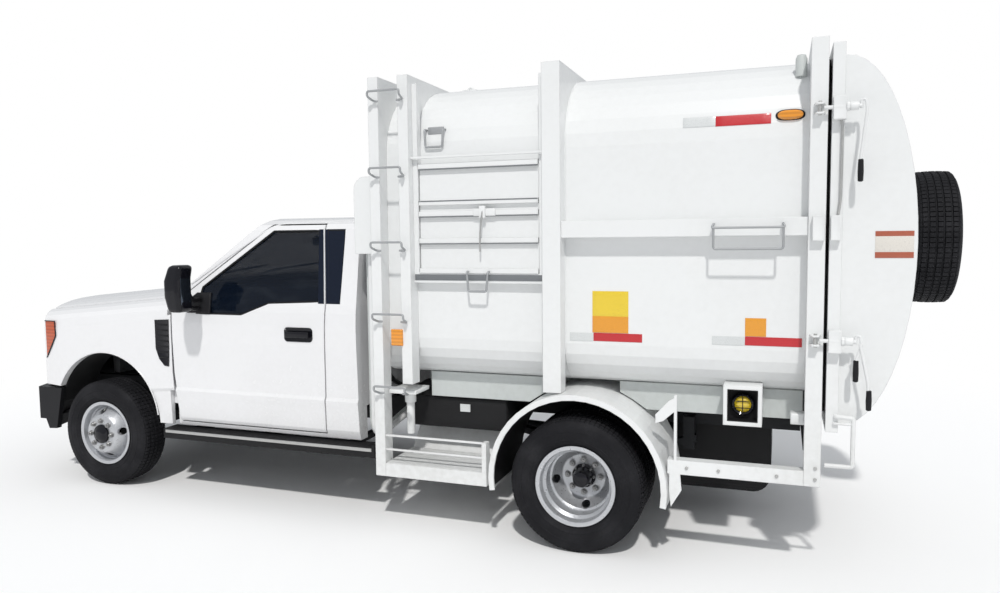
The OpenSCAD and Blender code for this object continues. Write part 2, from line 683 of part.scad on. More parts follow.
module body_subframe() color([0.72, 0.74, 0.74]) from_axle() both_sides() {
    // Skirts under the load space behind and ahead of the wheels, on outriggers
    skirt_y = shell_half - 180;
    for (span = [[-205, -1230], [205, 1040]]) {
        way = sign(span[0]);
        side_plate([[span[0], 912], [span[0] + way * 80, 868], [span[0] + way * 160, 815], [span[1], 815],
                    [span[1], shell_floor_z + 8], [span[0], shell_floor_z + 8]], skirt_y, skirt_y + 12);
        for (x = [400, 780, abs(span[1]) - 40])
            box([way * x - 6, rail_half_w, 860], [way * x + 6, skirt_y + 5, shell_floor_z - seat]);
    }
    box([-1230, rail_half_w - 75, rail_top_z + seat], [1240, rail_half_w + 5, shell_floor_z - seat]);
}

shell_top_r = 450;
shell_low_r = 250;

// Cross-section of the load space, moved outwards by grow
function shell_section(grow) =
    let (half = shell_half + grow, top = shell_top_z + grow, low = shell_floor_z - grow,
         right = concat(arc(half - shell_low_r, low + shell_low_r, shell_low_r, shell_low_r, -90, 0, 6),
                        arc(half - shell_top_r, top - shell_top_r, shell_top_r, shell_top_r, 0, 90, 9)))
    concat(right, mirrored(right));

module load_body() color([0.93, 0.93, 0.94]) from_axle() {
    x0 = hatch_x - hatch_w / 2;
    x1 = hatch_x + hatch_w / 2;
    difference() {
        cross_plate(shell_section(0), rear_hoop_x, body_front_x);
        cross_plate(shell_section(-shell_wall), rear_hoop_x - 10, body_front_x - shell_wall);
        // Loading hatches on both sides
        box([x0 + 30, -body_half, hatch_z + 30], [x1 - 30, body_half, hatch_z + hatch_h - 30]);
    }
    // Guides at the hatches' sides, and the sills that they rest on
    both_sides() {
        box([mid_hoop_x + mid_hoop_t + seat, shell_half - 5, hatch_z - 60],
            [x0 - 5, shell_half + 44, 2790]);
        box([x1 + 5, shell_half - 5, hatch_z - 60], [front_hoop_x - seat, shell_half + 44, 2790]);
        box([x0 - 10, shell_half - 5, hatch_z - 60], [x1 + 10, shell_half + 44, hatch_z - seat]);
    }
}

// One hoop round the load space: station of its back face, thickness, height of its feet
module hoop(x, t, foot_z) difference() {
    cross_plate([[-body_half, foot_z], [body_half, foot_z],
                 [body_half, hoop_top_z], [-body_half, hoop_top_z]], x, x + t);
    cross_plate(shell_section(seat), x - 1, x + t + 1);
    box([x - 1, -shell_half - seat, 0], [x + t + 1, shell_half + seat, shell_floor_z + 300]);
}

// Hoops: station of the back face, thickness, height of the feet
hoop_table = [[rear_hoop_x, hoop_t, 520], [mid_hoop_x, mid_hoop_t, 936],
              [front_hoop_x, hoop_thin, 936], [thin_hoop_x, hoop_thin, 332]];

module body_hoops() color([0.93, 0.93, 0.94]) from_axle() {
    for (h = hoop_table) hoop(h[0], h[1], h[2]);
    // Lugs on the right that carry the tailgate's hinge pins
    for (z = tailgate_hinge_z)
        difference() {
            union() {
                box([rear_hoop_x, tailgate_hinge[1], z - 40], [rear_hoop_x + 60, -body_half + 5, z + 40]);
                translate([tailgate_hinge[0], tailgate_hinge[1], z - 40])
                    cylinder(r = 24, h = 80, $fn = 48);
            }
            translate([tailgate_hinge[0], tailgate_hinge[1], z - 50])
                cylinder(r = 10 + seat, h = 100, $fn = 48);
        }
}

ledge_z = [1840, 1937];

module side_rails() color([0.93, 0.93, 0.94]) from_axle() both_sides() {
    // Ledge along the load space, between the middle and rear hoops
    box([rear_hoop_x + hoop_t + seat, shell_half + seat, ledge_z[0]],
        [mid_hoop_x - seat, body_half - 15, ledge_z[1]]);
    // Low rail behind the rear wheels, with a post, a stay and a flap at its front end
    post_x = -fender_r - 45;
    box([rear_hoop_x + hoop_t + seat, body_half - 70, 520], [-fender_r + 5, body_half, 600]);
    box([post_x, body_half - 20, 560], [post_x + 16, body_half, 965]);
    side_plate([[post_x + 5, 955], [post_x + 5, 880], [post_x + 75, 815], [post_x + 118, 800],
                [post_x + 118, 850], [post_x + 45, 930]], body_half - 12, body_half);
    side_plate([[-fender_r - 6, 560], [-fender_r - 60, 560], [-fender_r - 73, 430],
                [-fender_r - 15, 330], [-fender_r - 4, 420]], body_half - 12, body_half);
}

rung_z = [930, 1385, 1830, 2285, 2749];

module ladder() color([0.85, 0.85, 0.86]) from_axle() {
    bar = 14;
    back = front_hoop_x + 20;
    front = body_front_x - 25;
    out = body_half + 55;
    for (z = rung_z) {
        box([back, out, z - bar], [front, out + bar, z]);
        for (x = [back, front - bar]) {
            box([x, out, z - 60], [x + bar, out + bar, z]);
            box([x, body_half + seat, z - 60], [x + bar, out + bar, z - 60 + bar]);
        }
    }
}

// Loading hatch: a panel with ribs that slides up between the hoops
module hatch() from_axle() {
    skin = shell_half + 6;
    x0 = hatch_x - hatch_w / 2;
    x1 = hatch_x + hatch_w / 2;
    box([x0, skin, hatch_z], [x1, skin + 24, hatch_z + hatch_h]);
    for (z = [hatch_z, hatch_z + 185, hatch_z + 350, hatch_z + 417, hatch_z + hatch_h - 30])
        box([x0, skin + 20, z], [x1, skin + 44, z + 30]);
}
module hatch_left() color([0.93, 0.93, 0.94]) hatch();
module hatch_right() color([0.93, 0.93, 0.94]) mirror([0, 1, 0]) hatch();

module step_boxes() color([0.93, 0.93, 0.94]) from_axle() both_sides() {
    front = thin_hoop_x - seat;
    back = 560;
    box([back, body_half - 60, 332], [front, body_half, 402]);
    box([back, body_half - 400, 402], [front, body_half, 417]);
    // Upright at the rear that hangs from the load space's sill
    box([back, body_half - 60, 402], [back + 30, body_half, 600]);
    for (z = [500, 590])
        box([back + 30, body_half - 20, z], [front, body_half - 8, z + 12]);
    // Sloping back plate, and its bracket to the frame rail
    side = body_half - 400;
    cross_plate([[side, 402], [side + 20, 402], [rail_half_w + 40, 700], [rail_half_w + 20, 700]],
                back + 90, front);
    box([700, rail_half_w + seat, 660], [760, rail_half_w + 60, 700]);
    box([1100, rail_half_w + seat, 660], [1160, rail_half_w + 60, 700]);
}

fender_r = 530;
fender_z = 412;

module rear_fenders() color([0.93, 0.93, 0.94]) from_axle() both_sides() {
    inner = body_half - 550;
    outer = body_half + 48;
    side_plate(concat(arc(0, fender_z, fender_r, fender_r, -9, 189, 24),
                      arc(0, fender_z, fender_r - 14, fender_r - 14, 189, -9, 24)), inner, outer);
    // Lip round the outer edge
    side_plate(concat(arc(0, fender_z, fender_r, fender_r, -9, 189, 24),
                      arc(0, fender_z, fender_r - 34, fender_r - 34, 189, -9, 24)), outer - 12, outer);
    // Brackets to the subframe
    for (x = [-200, 200])
        box([x - 25, rail_half_w + 5 + seat, 855], [x + 25, inner + 30, 885]);
}

module hydraulic_tank() color([0.93, 0.93, 0.94]) from_axle() {
    x0 = body_front_x + seat;
    side_plate(concat([[x0, 1750], [x0 + 155, 1750]], arc(x0 + 75, 2160, 80, 80, 0, 90, 6), [[x0, 2240]]),
               560, 1080);
}

// ---------------------------------------------------------------- tailgate

tailgate_z = [818, 2805];
bulge_z = 1800;

module tailgate() color([0.93, 0.93, 0.94]) from_axle() {
    frame_back = tailgate_x - tailgate_frame_t;
    bulge_half = body_half - 45;
    outline = function (inset) concat(
        [[tailgate_x, bulge_z + bulge_h / 2 - inset], [frame_back - 6, bulge_z + bulge_h / 2 - inset]],
        arc(frame_back - 6, bulge_z, bulge_depth - inset, bulge_h / 2 - inset, 90, 270, 24),
        [[tailgate_x, bulge_z - bulge_h / 2 + inset]]);
    difference() {
        union() {
            box([frame_back, -body_half, tailgate_z[0]], [tailgate_x, body_half, tailgate_z[1]]);
            side_plate(outline(0), -bulge_half, bulge_half);
        }
        translate([5, 0, 0])
            side_plate(outline(shell_wall), -bulge_half + shell_wall, bulge_half - shell_wall);
    }
    // Bracket for the spare wheel: a stub through the wheel's middle and a flange on its disc
    bulge_back = frame_back - 6 - bulge_depth;
    disc_face = -rear_overhang + tyre_w / 2 + disc_offset + seat;
    translate([0, spare_y, spare_z]) rotate([0, 90, 0]) {
        translate([0, 0, disc_face - 45]) cylinder(r = 60, h = bulge_back + 10 - disc_face + 45, $fn = 48);
        translate([0, 0, disc_face]) cylinder(r = 105, h = 14, $fn = 64);
    }
    // Hinge knuckles on the right, between the hoop's lugs
    for (z = tailgate_hinge_z) {
        for (side = [-1, 1])
            translate([tailgate_hinge[0], tailgate_hinge[1], z + side * 66 - 20])
                cylinder(r = 24, h = 40, $fn = 48);
        for (side = [-1, 1])
            box([frame_back, tailgate_hinge[1] - 10, z + side * 66 - 20],
                [tailgate_x - 4, -body_half + 5, z + side * 66 + 20]);
        translate([tailgate_hinge[0], tailgate_hinge[1], z - 86]) cylinder(r = 10, h = 172, $fn = 48);
    }
}

// Screw clamps on the left edge of the tailgate, with their levers
module tailgate_clamps() color([0.8, 0.8, 0.8]) from_axle() {
    y0 = body_half + seat;
    for (z = [1300, 2478]) {
        box([tailgate_x - 55, y0, z - 45], [tailgate_x - 10, y0 + 50, z + 25]);
        translate([tailgate_x - 140, y0 + 35, z]) rotate([0, 90, 0]) cylinder(r = 11, h = 170, $fn = 32);
        box([tailgate_x - 146, y0 + 26, z - 370], [tailgate_x - 128, y0 + 44, z + 30]);
    }
    // Drop rod with its stay
    box([tailgate_x - 146, y0, 640], [tailgate_x - 128, y0 + 18, 935]);
    box([tailgate_x - 146, y0, 640], [tailgate_x + 10, y0 + 18, 652]);
    box([tailgate_x - 140, y0, 850], [tailgate_x - 20, y0 + 18, 880]);
}

frame_rails();
crossmembers();
engine_block();
driveshaft();
leaf_springs();
front_axle();
rear_axle();
fuel_tank();
knuckle_left();
knuckle_right();
front_tyre_left();
front_tyre_right();
front_rim_left();
front_rim_right();
rear_tyres_left();
rear_tyres_right();
rear_rims_left();
rear_rims_right();
front_bumper();
grille();
headlamps();
front_fenders();
hood();
cab_shell();
windshield();
cab_windows();
door_left();
door_right();
door_glass_left();
door_glass_right();
mirror_left();
mirror_right();
bench_seat();
dashboard();
steering_wheel();
running_boards();
body_subframe();
load_body();
body_hoops();
side_rails();
ladder();
hatch_left();
hatch_right();
step_boxes();
rear_fenders();
hydraulic_tank();
tailgate();
tailgate_clamps();
spare_wheel();
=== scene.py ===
import math
from contextlib import contextmanager

import bpy
from mathutils import Matrix, Vector


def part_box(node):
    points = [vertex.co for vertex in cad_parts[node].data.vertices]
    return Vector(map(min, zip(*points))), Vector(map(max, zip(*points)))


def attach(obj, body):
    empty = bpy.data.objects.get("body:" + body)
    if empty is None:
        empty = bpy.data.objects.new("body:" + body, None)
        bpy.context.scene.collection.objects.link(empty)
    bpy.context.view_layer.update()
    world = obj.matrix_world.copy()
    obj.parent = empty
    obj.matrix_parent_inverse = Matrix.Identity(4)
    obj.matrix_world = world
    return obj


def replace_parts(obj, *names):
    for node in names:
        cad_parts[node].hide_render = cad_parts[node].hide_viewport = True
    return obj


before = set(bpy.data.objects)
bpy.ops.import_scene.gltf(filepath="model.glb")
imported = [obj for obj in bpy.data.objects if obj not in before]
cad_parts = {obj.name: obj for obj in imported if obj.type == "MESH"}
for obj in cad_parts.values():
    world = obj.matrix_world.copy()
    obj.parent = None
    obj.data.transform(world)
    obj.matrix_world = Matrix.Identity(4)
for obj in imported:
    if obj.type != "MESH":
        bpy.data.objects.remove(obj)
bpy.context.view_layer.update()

bl_info = {
    "name": "Garbage Truck Finish",
    "version": (1, 0, 0),
    "blender": (4, 5, 0),
    "location": "3D View > Sidebar > Garbage Truck",
    "description": "Models the fittings and finishes of a side-loading garbage truck "
                   "on its CAD frame",
    "category": "Object",
}


def middle(node):
    """The centre of a CAD node's box."""
    low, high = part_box(node)
    return (low + high) / 2


def spans(node):
    """The length, width and height of a CAD node's box."""
    low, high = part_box(node)
    return high - low


REAR_X, AXLE_Z = middle("rear_tyres_left").x, middle("rear_tyres_left").z
TYRE_R, TYRE_W = spans("front_tyre_left").z / 2, spans("front_tyre_left").y
TWIN_GAP = (spans("rear_tyres_left").y - TYRE_W) / 2
BODY_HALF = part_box("body_hoops")[1].y
CAB_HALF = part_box("cab_shell")[1].y
LEDGE = 0.044  # the load body's ledge stands out this far from its shell
SHELL_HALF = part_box("load_body")[1].y - LEDGE
SHELL_LOW, SHELL_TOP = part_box("load_body")[0].z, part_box("load_body")[1].z
SHELL_LOW_R, SHELL_TOP_R = 0.25, 0.45
GATE_X = -1.334  # station of the tailgate's front face
ARCH_X, ARCH_Z, ARCH_R = 3.715, 0.500, 0.508  # front wheel arch
FENDER_Z = 0.412  # centre of the rear fenders' arc
WINDSHIELD_SLOPE = math.radians(36.3)
FACING = 0.9  # a face or an edge this far along an axis counts as facing it
LIFT = 0.0012  # thin sheets lie this far off their skin

DOORS = ("left_door", "right_door")
HATCHES = ("left_hatch", "right_hatch")
FRONT_WHEELS = ("front_left_wheel", "front_right_wheel")
REAR_WHEELS = ("rear_left_wheel", "rear_right_wheel")


def at(x, y, z):
    """A point given by its station forwards from the rear axle."""
    return Vector((x + REAR_X, y, z))


# ------------------------------------------------------------------ settings


def length(name, text, default, low, high):
    """A length setting."""
    return bpy.props.FloatProperty(name=name, description=text, default=default, min=low, max=high,
                                   unit="LENGTH")


class TruckSizes(bpy.types.PropertyGroup):
    """Sizes of the fittings."""
    edge: length("Panel edge", "Rounding that light finds on sheet edges", 0.006, 0, 0.02)
    tread: length("Tread depth", "Depth of the grooves in the tyres", 0.009, 0.002, 0.012)
    pitches: bpy.props.IntProperty(name="Tread blocks", description="Blocks round one tyre",
                                   default=84, min=40, max=120)
    nut: length("Wheel nut", "Radius of a wheel nut across its corners", 0.0165, 0.01, 0.02)
    rung: length("Rung", "Radius of the rungs and grab handles", 0.007, 0.004, 0.012)
    seal: length("Window seal", "Radius of the rubber round the glass", 0.008, 0.004, 0.012)


def colour(name, text, default):
    """A colour setting."""
    return bpy.props.FloatVectorProperty(name=name, description=text, default=default, size=3,
                                         min=0, max=1, subtype="COLOR")


class TruckColours(bpy.types.PropertyGroup):
    """Colours of the finishes."""
    cab: colour("Cab paint", "Gloss paint of the cab", (0.80, 0.80, 0.81))
    body: colour("Body paint", "Paint of the load body", (0.79, 0.80, 0.80))
    # The subframe's grey is painted shade: the white paint under the load body, darkened as if in
    # shadow
    subframe: colour("Subframe paint", "Paint under the load body", (0.56, 0.59, 0.58))
    black: colour("Chassis paint", "Paint of the frame and axles", (0.016, 0.017, 0.019))
    rubber: colour("Rubber", "Tyres", (0.010, 0.010, 0.012))
    silver: colour("Wheel paint", "Paint of the rims", (0.52, 0.53, 0.55))
    red: colour("Marking red", "Red reflective marking", (0.55, 0.012, 0.02))
    amber: colour("Amber", "Side lamps", (0.90, 0.33, 0.015))
    yellow: colour("Yellow", "Yellow plate and lamp", (0.83, 0.60, 0.03))
    glass: colour("Glass tint", "Tint of the windows", (0.004, 0.007, 0.014))
    cloth: colour("Seat cloth", "Cloth of the bench", (0.055, 0.057, 0.062))


# ------------------------------------------------------------------ finishes


class Amount:
    """A number that varies over a surface. Arithmetic on it adds Math nodes."""

    def __init__(self, finish, socket):
        self.finish, self.socket = finish, socket

    def with_(self, operation, *values):
        inputs = dict(enumerate(values))
        node = self.finish.node("Math", {"operation": operation}, inputs)
        return Amount(self.finish, node.outputs[0])

    def __add__(self, other):
        return self.with_("ADD", self, other)

    def __radd__(self, other):
        return self.with_("ADD", other, self)

    def __mul__(self, other):
        return self.with_("MULTIPLY", self, other)


class Finish:
    """A material being made, with its shader."""

    def __init__(self, name, **constants):
        self.material = bpy.data.materials.new(name)
        self.material.use_nodes = True
        self.tree = self.material.node_tree
        self.shader = self.tree.nodes["Principled BSDF"]
        for label, value in constants.items():
            self.shader.inputs[label.replace("_", " ")].default_value = value
        self.coordinates = self.node("TexCoord", {}, {}).outputs["Object"]

    def node(self, kind, settings, inputs):
        """Adds a node: its type, its settings, then the values or links of its sockets."""
        made = self.tree.nodes.new("ShaderNode" + kind)
        for label, value in settings.items():
            setattr(made, label, value)
        for label, value in inputs.items():
            self.join(value, made.inputs[label])
        return made

    def join(self, value, socket):
        """Gives a socket a value or a link."""
        if isinstance(value, Amount):
            value = value.socket
        if isinstance(value, bpy.types.NodeSocket):
            self.tree.links.new(value, socket)
        elif socket.type == "RGBA":
            socket.default_value = (*value, 1)
        else:
            socket.default_value = value

    def noise(self, scale, detail=3.0, stretch=(1, 1, 1)):
        """Noise of the given scale, stretched along the axes, from 0 to 1."""
        mapped = self.node("Mapping", {}, {"Vector": self.coordinates, "Scale": stretch})
        made = self.node("TexNoise", {}, {"Vector": mapped.outputs[0], "Scale": scale,
                                          "Detail": detail})
        return Amount(self, made.outputs["Fac"])

    def part(self, amount, low, high, to_low=0.0, to_high=1.0):
        """Maps one range of an amount onto another, held at its ends."""
        made = self.node("MapRange", {"interpolation_type": "SMOOTHSTEP"},
                         {"Value": amount, "From Min": low, "From Max": high, "To Min": to_low,
                          "To Max": to_high})
        return Amount(self, made.outputs["Result"])

    def axis(self, name):
        """One coordinate of the surface, in metres."""
        made = self.node("SeparateXYZ", {}, {"Vector": self.coordinates})
        return Amount(self, made.outputs[name])

    def blend(self, amount, first, second):
        """A colour between two, by an amount."""
        made = self.node("Mix", {"data_type": "RGBA"}, {0: amount, 6: first, 7: second})
        return made.outputs[2]

    def paint(self, **links):
        """Links what varies to the shader."""
        for label, value in links.items():
            self.join(value, self.shader.inputs[label.replace("_", " ")])

    def relief(self, height, strength, distance, edge=0.0):
        """Bumps, over edges that catch the light as if rounded."""
        inputs = {"Height": height, "Strength": strength, "Distance": distance}
        if edge:
            inputs["Normal"] = self.node("Bevel", {"samples": 4}, {"Radius": edge}).outputs[0]
        self.paint(Normal=self.node("Bump", {}, inputs).outputs[0])


FINISHES = {}


def keep(name, finish):
    """Files a finish under its name."""
    FINISHES[name] = finish.material


def sheet_paint(name, tone, shine, coat, wave, dust, edge):
    """Paint on sheet metal: slight waves in the sheet, orange peel, and dust low down."""
    made = Finish(name, Coat_Roughness=0.08, Coat_Weight=coat)
    cloud, speck = made.noise(1.1, 4), made.noise(26, 5)
    low = made.part(made.axis("Z"), 1.25, 0.3)
    grime = made.part(cloud * 0.6 + speck * 0.4, 0.38, 0.72) * (0.25 + low * 0.75) * dust
    worn = tuple(c * 0.72 for c in (tone[0], tone[1] * 0.985, tone[2] * 0.95))
    made.paint(Base_Color=made.blend(grime, tone, worn),
               Roughness=made.part(speck, 0.3, 0.7, shine - 0.04, shine + 0.05) + grime * 0.25)
    sheet = made.noise(2.3, 1, (1, 1, 1.4)) * wave + made.noise(420, 2) * 0.01
    made.relief(sheet, 0.35, 0.01, edge)
    keep(name, made)


def plain_part(name, tone, shine, grain, scale, dust=0.25, metal=0.0, edge=0.0, coat=0.0):
    """Moulded, cast or painted small parts: a grained surface with dust lying on it."""
    made = Finish(name, Metallic=metal, Coat_Weight=coat,
                  Specular_IOR_Level=0.2 if max(tone) < 0.05 else 0.5)
    cloud, fine = made.noise(3.1, 4), made.noise(scale, 4)
    light = tuple(min(1, c * 1.25 + 0.015) for c in tone)
    made.paint(Base_Color=made.blend(made.part(cloud * 0.5 + fine * 0.5, 0.35, 0.75) * dust, tone,
                                     light),
               Roughness=made.part(fine, 0.3, 0.7, shine - 0.07, shine + 0.09))
    made.relief(fine, grain, 0.002, edge)
    keep(name, made)


def make_rubber(tone):
    """Tyre rubber: patches of dust over a fine grain."""
    made = Finish("rubber", Specular_IOR_Level=0.16)
    cloud, fine = made.noise(7, 5), made.noise(90, 4)
    dusty = tuple(c * 1.4 + 0.008 for c in tone)
    made.paint(Base_Color=made.blend(made.part(cloud * 0.6 + fine * 0.4, 0.42, 0.7), tone, dusty),
               Roughness=made.part(fine, 0.3, 0.7, 0.62, 0.82))
    made.relief(fine * 0.6 + made.noise(500, 2) * 0.4, 0.4, 0.0012, 0.002)
    keep("rubber", made)


def make_lens(name, tone, alpha, lines):
    """A lamp's lens with moulded flutes."""
    made = Finish(name, Alpha=alpha, Coat_Weight=0.8, Coat_Roughness=0.03, Specular_IOR_Level=0.6)
    flutes = made.node("TexWave", {"bands_direction": "Z"},
                       {"Vector": made.coordinates, "Scale": lines, "Distortion": 0.0})
    deep = tuple(c * 0.55 for c in tone)
    wave = Amount(made, flutes.outputs["Fac"])
    made.paint(Base_Color=made.blend(wave * 0.5 + made.noise(9, 2) * 0.3, tone, deep),
               Roughness=made.part(made.noise(60), 0.3, 0.7, 0.1, 0.2))
    made.relief(wave, 0.4, 0.002)
    keep(name, made)


def make_glass(tone):
    """Tinted window glass: more opaque low down as painted shade of the cab's inside behind it,
    with faint wiped dust.
    """
    made = Finish("window", Roughness=0.04, Specular_IOR_Level=0.22)
    film = made.part(made.noise(5, 4, (1, 1, 2.2)), 0.45, 0.75)
    made.paint(Base_Color=made.blend(film * 0.03, tone, (0.25, 0.28, 0.3)),
               # Alpha is higher below 1.5 m: painted shade of the cab's inside seen through the
               # glass
               Alpha=made.part(made.axis("Z"), 1.50, 1.60, 0.9, 0.62) + film * 0.03)
    keep("window", made)


def make_cloth(tone):
    """Woven seat cloth: warp and weft of two greys."""
    made = Finish("seat_cloth", Sheen_Weight=0.35, Sheen_Roughness=0.5)
    warp = made.node("TexWave", {"bands_direction": "X"},
                     {"Vector": made.coordinates, "Scale": 150.0, "Distortion": 1.2})
    weft = made.node("TexWave", {"bands_direction": "Y"},
                     {"Vector": made.coordinates, "Scale": 150.0, "Distortion": 1.2})
    weave = Amount(made, warp.outputs["Fac"]) * Amount(made, weft.outputs["Fac"])
    pale = tuple(c * 2.1 for c in tone)
    made.paint(Base_Color=made.blend(weave * 0.7 + made.noise(30) * 0.25, tone, pale),
               Roughness=made.part(weave, 0, 1, 0.8, 0.95))
    made.relief(weave, 0.5, 0.0015)
    keep("seat_cloth", made)


def make_marking(name, tone):
    """Reflective sheeting: a fine honeycomb of cells under a clear film."""
    made = Finish(name, Coat_Weight=0.5, Coat_Roughness=0.12)
    cells = made.node("TexVoronoi", {"feature": "DISTANCE_TO_EDGE"},
                      {"Vector": made.coordinates, "Scale": 160.0})
    wall = made.part(Amount(made, cells.outputs["Distance"]), 0.02, 0.1)
    dull = tuple(c * 0.8 for c in tone)
    made.paint(Base_Color=made.blend(wall * 0.7 + made.noise(8) * 0.3, dull, tone),
               Roughness=made.part(made.noise(40), 0.3, 0.7, 0.3, 0.42))
    made.relief(wall, 0.15, 0.001)
    keep(name, made)


class TRUCK_OT_finishes(bpy.types.Operator):
    """Makes every finish and paints the CAD nodes"""
    bl_idname = "truck.finishes"
    bl_label = "Finishes"

    def execute(self, context):
        tones, edge = context.scene.truck_colours, context.scene.truck_sizes.edge
        sheet_paint("cab_paint", tuple(tones.cab), 0.2, 0.5, 0.5, 0.35, edge)
        sheet_paint("body_paint", tuple(tones.body), 0.33, 0.2, 1.6, 0.55, edge)
        # Subframe grey: painted shade of the white paint under the load body
        sheet_paint("grey_paint_and_painted_shade", tuple(tones.subframe), 0.5, 0.0, 1.0, 0.8,
                    edge)
        plain_part("chassis_paint", tuple(tones.black), 0.55, 0.25, 60, 0.35,
                   edge=0.004)
        plain_part("casting", (0.16, 0.165, 0.17), 0.6, 0.5, 120, 0.3, metal=0.5,
                   edge=0.004)
        plain_part("tank_plastic", (0.014, 0.014, 0.015), 0.6, 0.35, 300, 0.3,
                   edge=0.006)
        plain_part("plastic", (0.012, 0.012, 0.014), 0.42, 0.3, 420, 0.22,
                   edge=0.005)
        plain_part("gloss_black", (0.006, 0.006, 0.009), 0.16, 0.04, 90, 0.1,
                   coat=0.25)
        plain_part("trim", (0.028, 0.029, 0.031), 0.62, 0.4, 380, 0.25)
        plain_part("seal_rubber", (0.010, 0.010, 0.011), 0.55, 0.15, 200, 0.2)
        plain_part("zinc", (0.47, 0.47, 0.46), 0.36, 0.1, 60, 0.45, metal=0.75,
                   edge=0.002)
        plain_part("bolt_steel", (0.30, 0.30, 0.30), 0.4, 0.12, 80, 0.4, metal=0.8)
        plain_part("chrome", (0.72, 0.73, 0.74), 0.12, 0.02, 30, 0.15, metal=1.0)
        plain_part("wheel_paint", tuple(tones.silver), 0.34, 0.08, 70, 0.35,
                   metal=0.65, edge=0.002)
        plain_part("mirror_face", (0.10, 0.12, 0.15), 0.06, 0.01, 12, 0.2,
                   metal=0.9)
        plain_part("steel_rung", (0.36, 0.37, 0.38), 0.45, 0.1, 80, 0.3, metal=0.3)
        # Mid grey of the painted shadow strips under the hatch's ribs and below the hatch
        plain_part("painted_shadow_grey", (0.16, 0.17, 0.18), 0.6, 0.1, 80, 0.2)
        # Dark navy of the pillars' black trim, also used as painted shade over the quarter glass
        plain_part("pillar_black_and_painted_shade", (0.006, 0.010, 0.022), 0.12, 0.02, 60, 0.1)
        plain_part("blank_plate", (0.72, 0.72, 0.70), 0.35, 0.05, 90, 0.3)
        make_rubber(tuple(tones.rubber))
        make_glass(tuple(tones.glass))
        make_cloth(tuple(tones.cloth))
        make_lens("clear_lens", (0.62, 0.65, 0.69), 1.0, 9.0)
        make_lens("amber_lens", tuple(tones.amber), 1.0, 14.0)
        make_lens("marker_lens", (0.55, 0.09, 0.02), 1.0, 12.0)
        make_lens("yellow_lens", tuple(tones.yellow), 1.0, 22.0)
        make_lens("red_lens", (0.5, 0.01, 0.012), 1.0, 16.0)
        make_marking("red_marking", tuple(tones.red))
        make_marking("silver_marking", (0.68, 0.70, 0.70))
        make_marking("yellow_marking", tuple(tones.yellow))
        make_marking("orange_marking", (0.80, 0.33, 0.02))
        make_marking("sticker_brown", (0.42, 0.10, 0.05))
        make_marking("sticker_white", (0.76, 0.72, 0.66))
        for finish, nodes in NODE_FINISHES.items():
            for node in nodes.split():
                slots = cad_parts[node].material_slots
                for slot in slots:
                    slot.material = FINISHES[finish]
        return {"FINISHED"}


NODE_FINISHES = {
    "chassis_paint": "frame_rails crossmembers leaf_springs front_axle rear_axle "
                     "knuckle_left knuckle_right driveshaft",
    "casting": "engine_block",
    "tank_plastic": "fuel_tank running_boards",
    "rubber": "front_tyre_left front_tyre_right rear_tyres_left rear_tyres_right spare_wheel",
    "wheel_paint": "front_rim_left front_rim_right rear_rims_left rear_rims_right",
    "plastic": "front_bumper grille mirror_left mirror_right steering_wheel",
    "trim": "dashboard",
    "clear_lens": "headlamps",
    "cab_paint": "front_fenders hood cab_shell door_left door_right",
    "window": "windshield cab_windows door_glass_left door_glass_right",
    "seat_cloth": "bench_seat",
    # The subframe's grey paint is painted shade of white paint in shadow
    "grey_paint_and_painted_shade": "body_subframe",
    "body_paint": "load_body body_hoops side_rails ladder hatch_left hatch_right "
                  "step_boxes rear_fenders hydraulic_tank tailgate",
    "zinc": "tailgate_clamps",
}

# ------------------------------------------------------------------ modelling


def clear():
    """Leaves edit mode with nothing selected."""
    if bpy.context.mode != "OBJECT":
        bpy.ops.object.mode_set(mode="OBJECT")
    bpy.ops.object.select_all(action="DESELECT")


def hold(*objects):
    """Selects only these objects, the first of them active."""
    clear()
    for thing in objects:
        thing.select_set(True)
    bpy.context.view_layer.objects.active = objects[0]


def settle(name):
    """Names the new primitive and applies its place to its mesh."""
    made = bpy.context.object
    made.name = made.data.name = name
    hold(made)
    bpy.ops.object.transform_apply(location=True, rotation=True, scale=True)
    return made


@contextmanager
def picked(thing, kind, test):
    """Edit mode, with the faces, edges or corners selected whose place and normal pass the test."""
    hold(thing)
    mesh = thing.data
    bpy.context.tool_settings.mesh_select_mode = (kind == "VERT", kind == "EDGE", kind == "FACE")
    for items in (mesh.vertices, mesh.edges, mesh.polygons):
        items.foreach_set("select", [False] * len(items))
    if kind == "FACE":
        for face in mesh.polygons:
            face.select = test(face.center, face.normal)
    elif kind == "EDGE":
        for edge in mesh.edges:
            first, last = (mesh.vertices[i].co for i in edge.vertices)
            edge.select = test((first + last) / 2, last - first)
    else:
        for corner in mesh.vertices:
            corner.select = test(corner.co, corner.normal)
    bpy.ops.object.mode_set(mode="EDIT")
    yield
    bpy.ops.object.mode_set(mode="OBJECT")


def everything(place, normal):
    """Passes every face, edge and corner."""
    return True


def close_up(thing, gap=0.00002):
    """Merges doubled corners and turns every face outwards."""
    with picked(thing, "VERT", everything):
        bpy.ops.mesh.remove_doubles(threshold=gap)
        bpy.ops.mesh.dissolve_degenerate(threshold=0.00001)
        bpy.ops.mesh.select_all(action="SELECT")
        bpy.ops.mesh.normals_make_consistent(inside=False)
    return thing


def modify(thing, kind, **settings):
    """Adds a modifier and applies it."""
    hold(thing)
    made = thing.modifiers.new(kind.title(), kind)
    for label, value in settings.items():
        setattr(made, label, value)
    bpy.ops.object.modifier_apply(modifier=made.name)
    return thing


def round_off(thing, width, segments=2, angle=40):
    """Bevels the edges that are sharper than an angle."""
    return modify(thing, "BEVEL", width=width, segments=segments, limit_method="ANGLE",
                  angle_limit=math.radians(angle))


def block(name, low, high):
    """A block between two corners."""
    low, high = Vector(low), Vector(high)
    clear()
    bpy.ops.mesh.primitive_cube_add(size=1, location=(low + high) / 2)
    bpy.context.object.scale = high - low
    return settle(name)


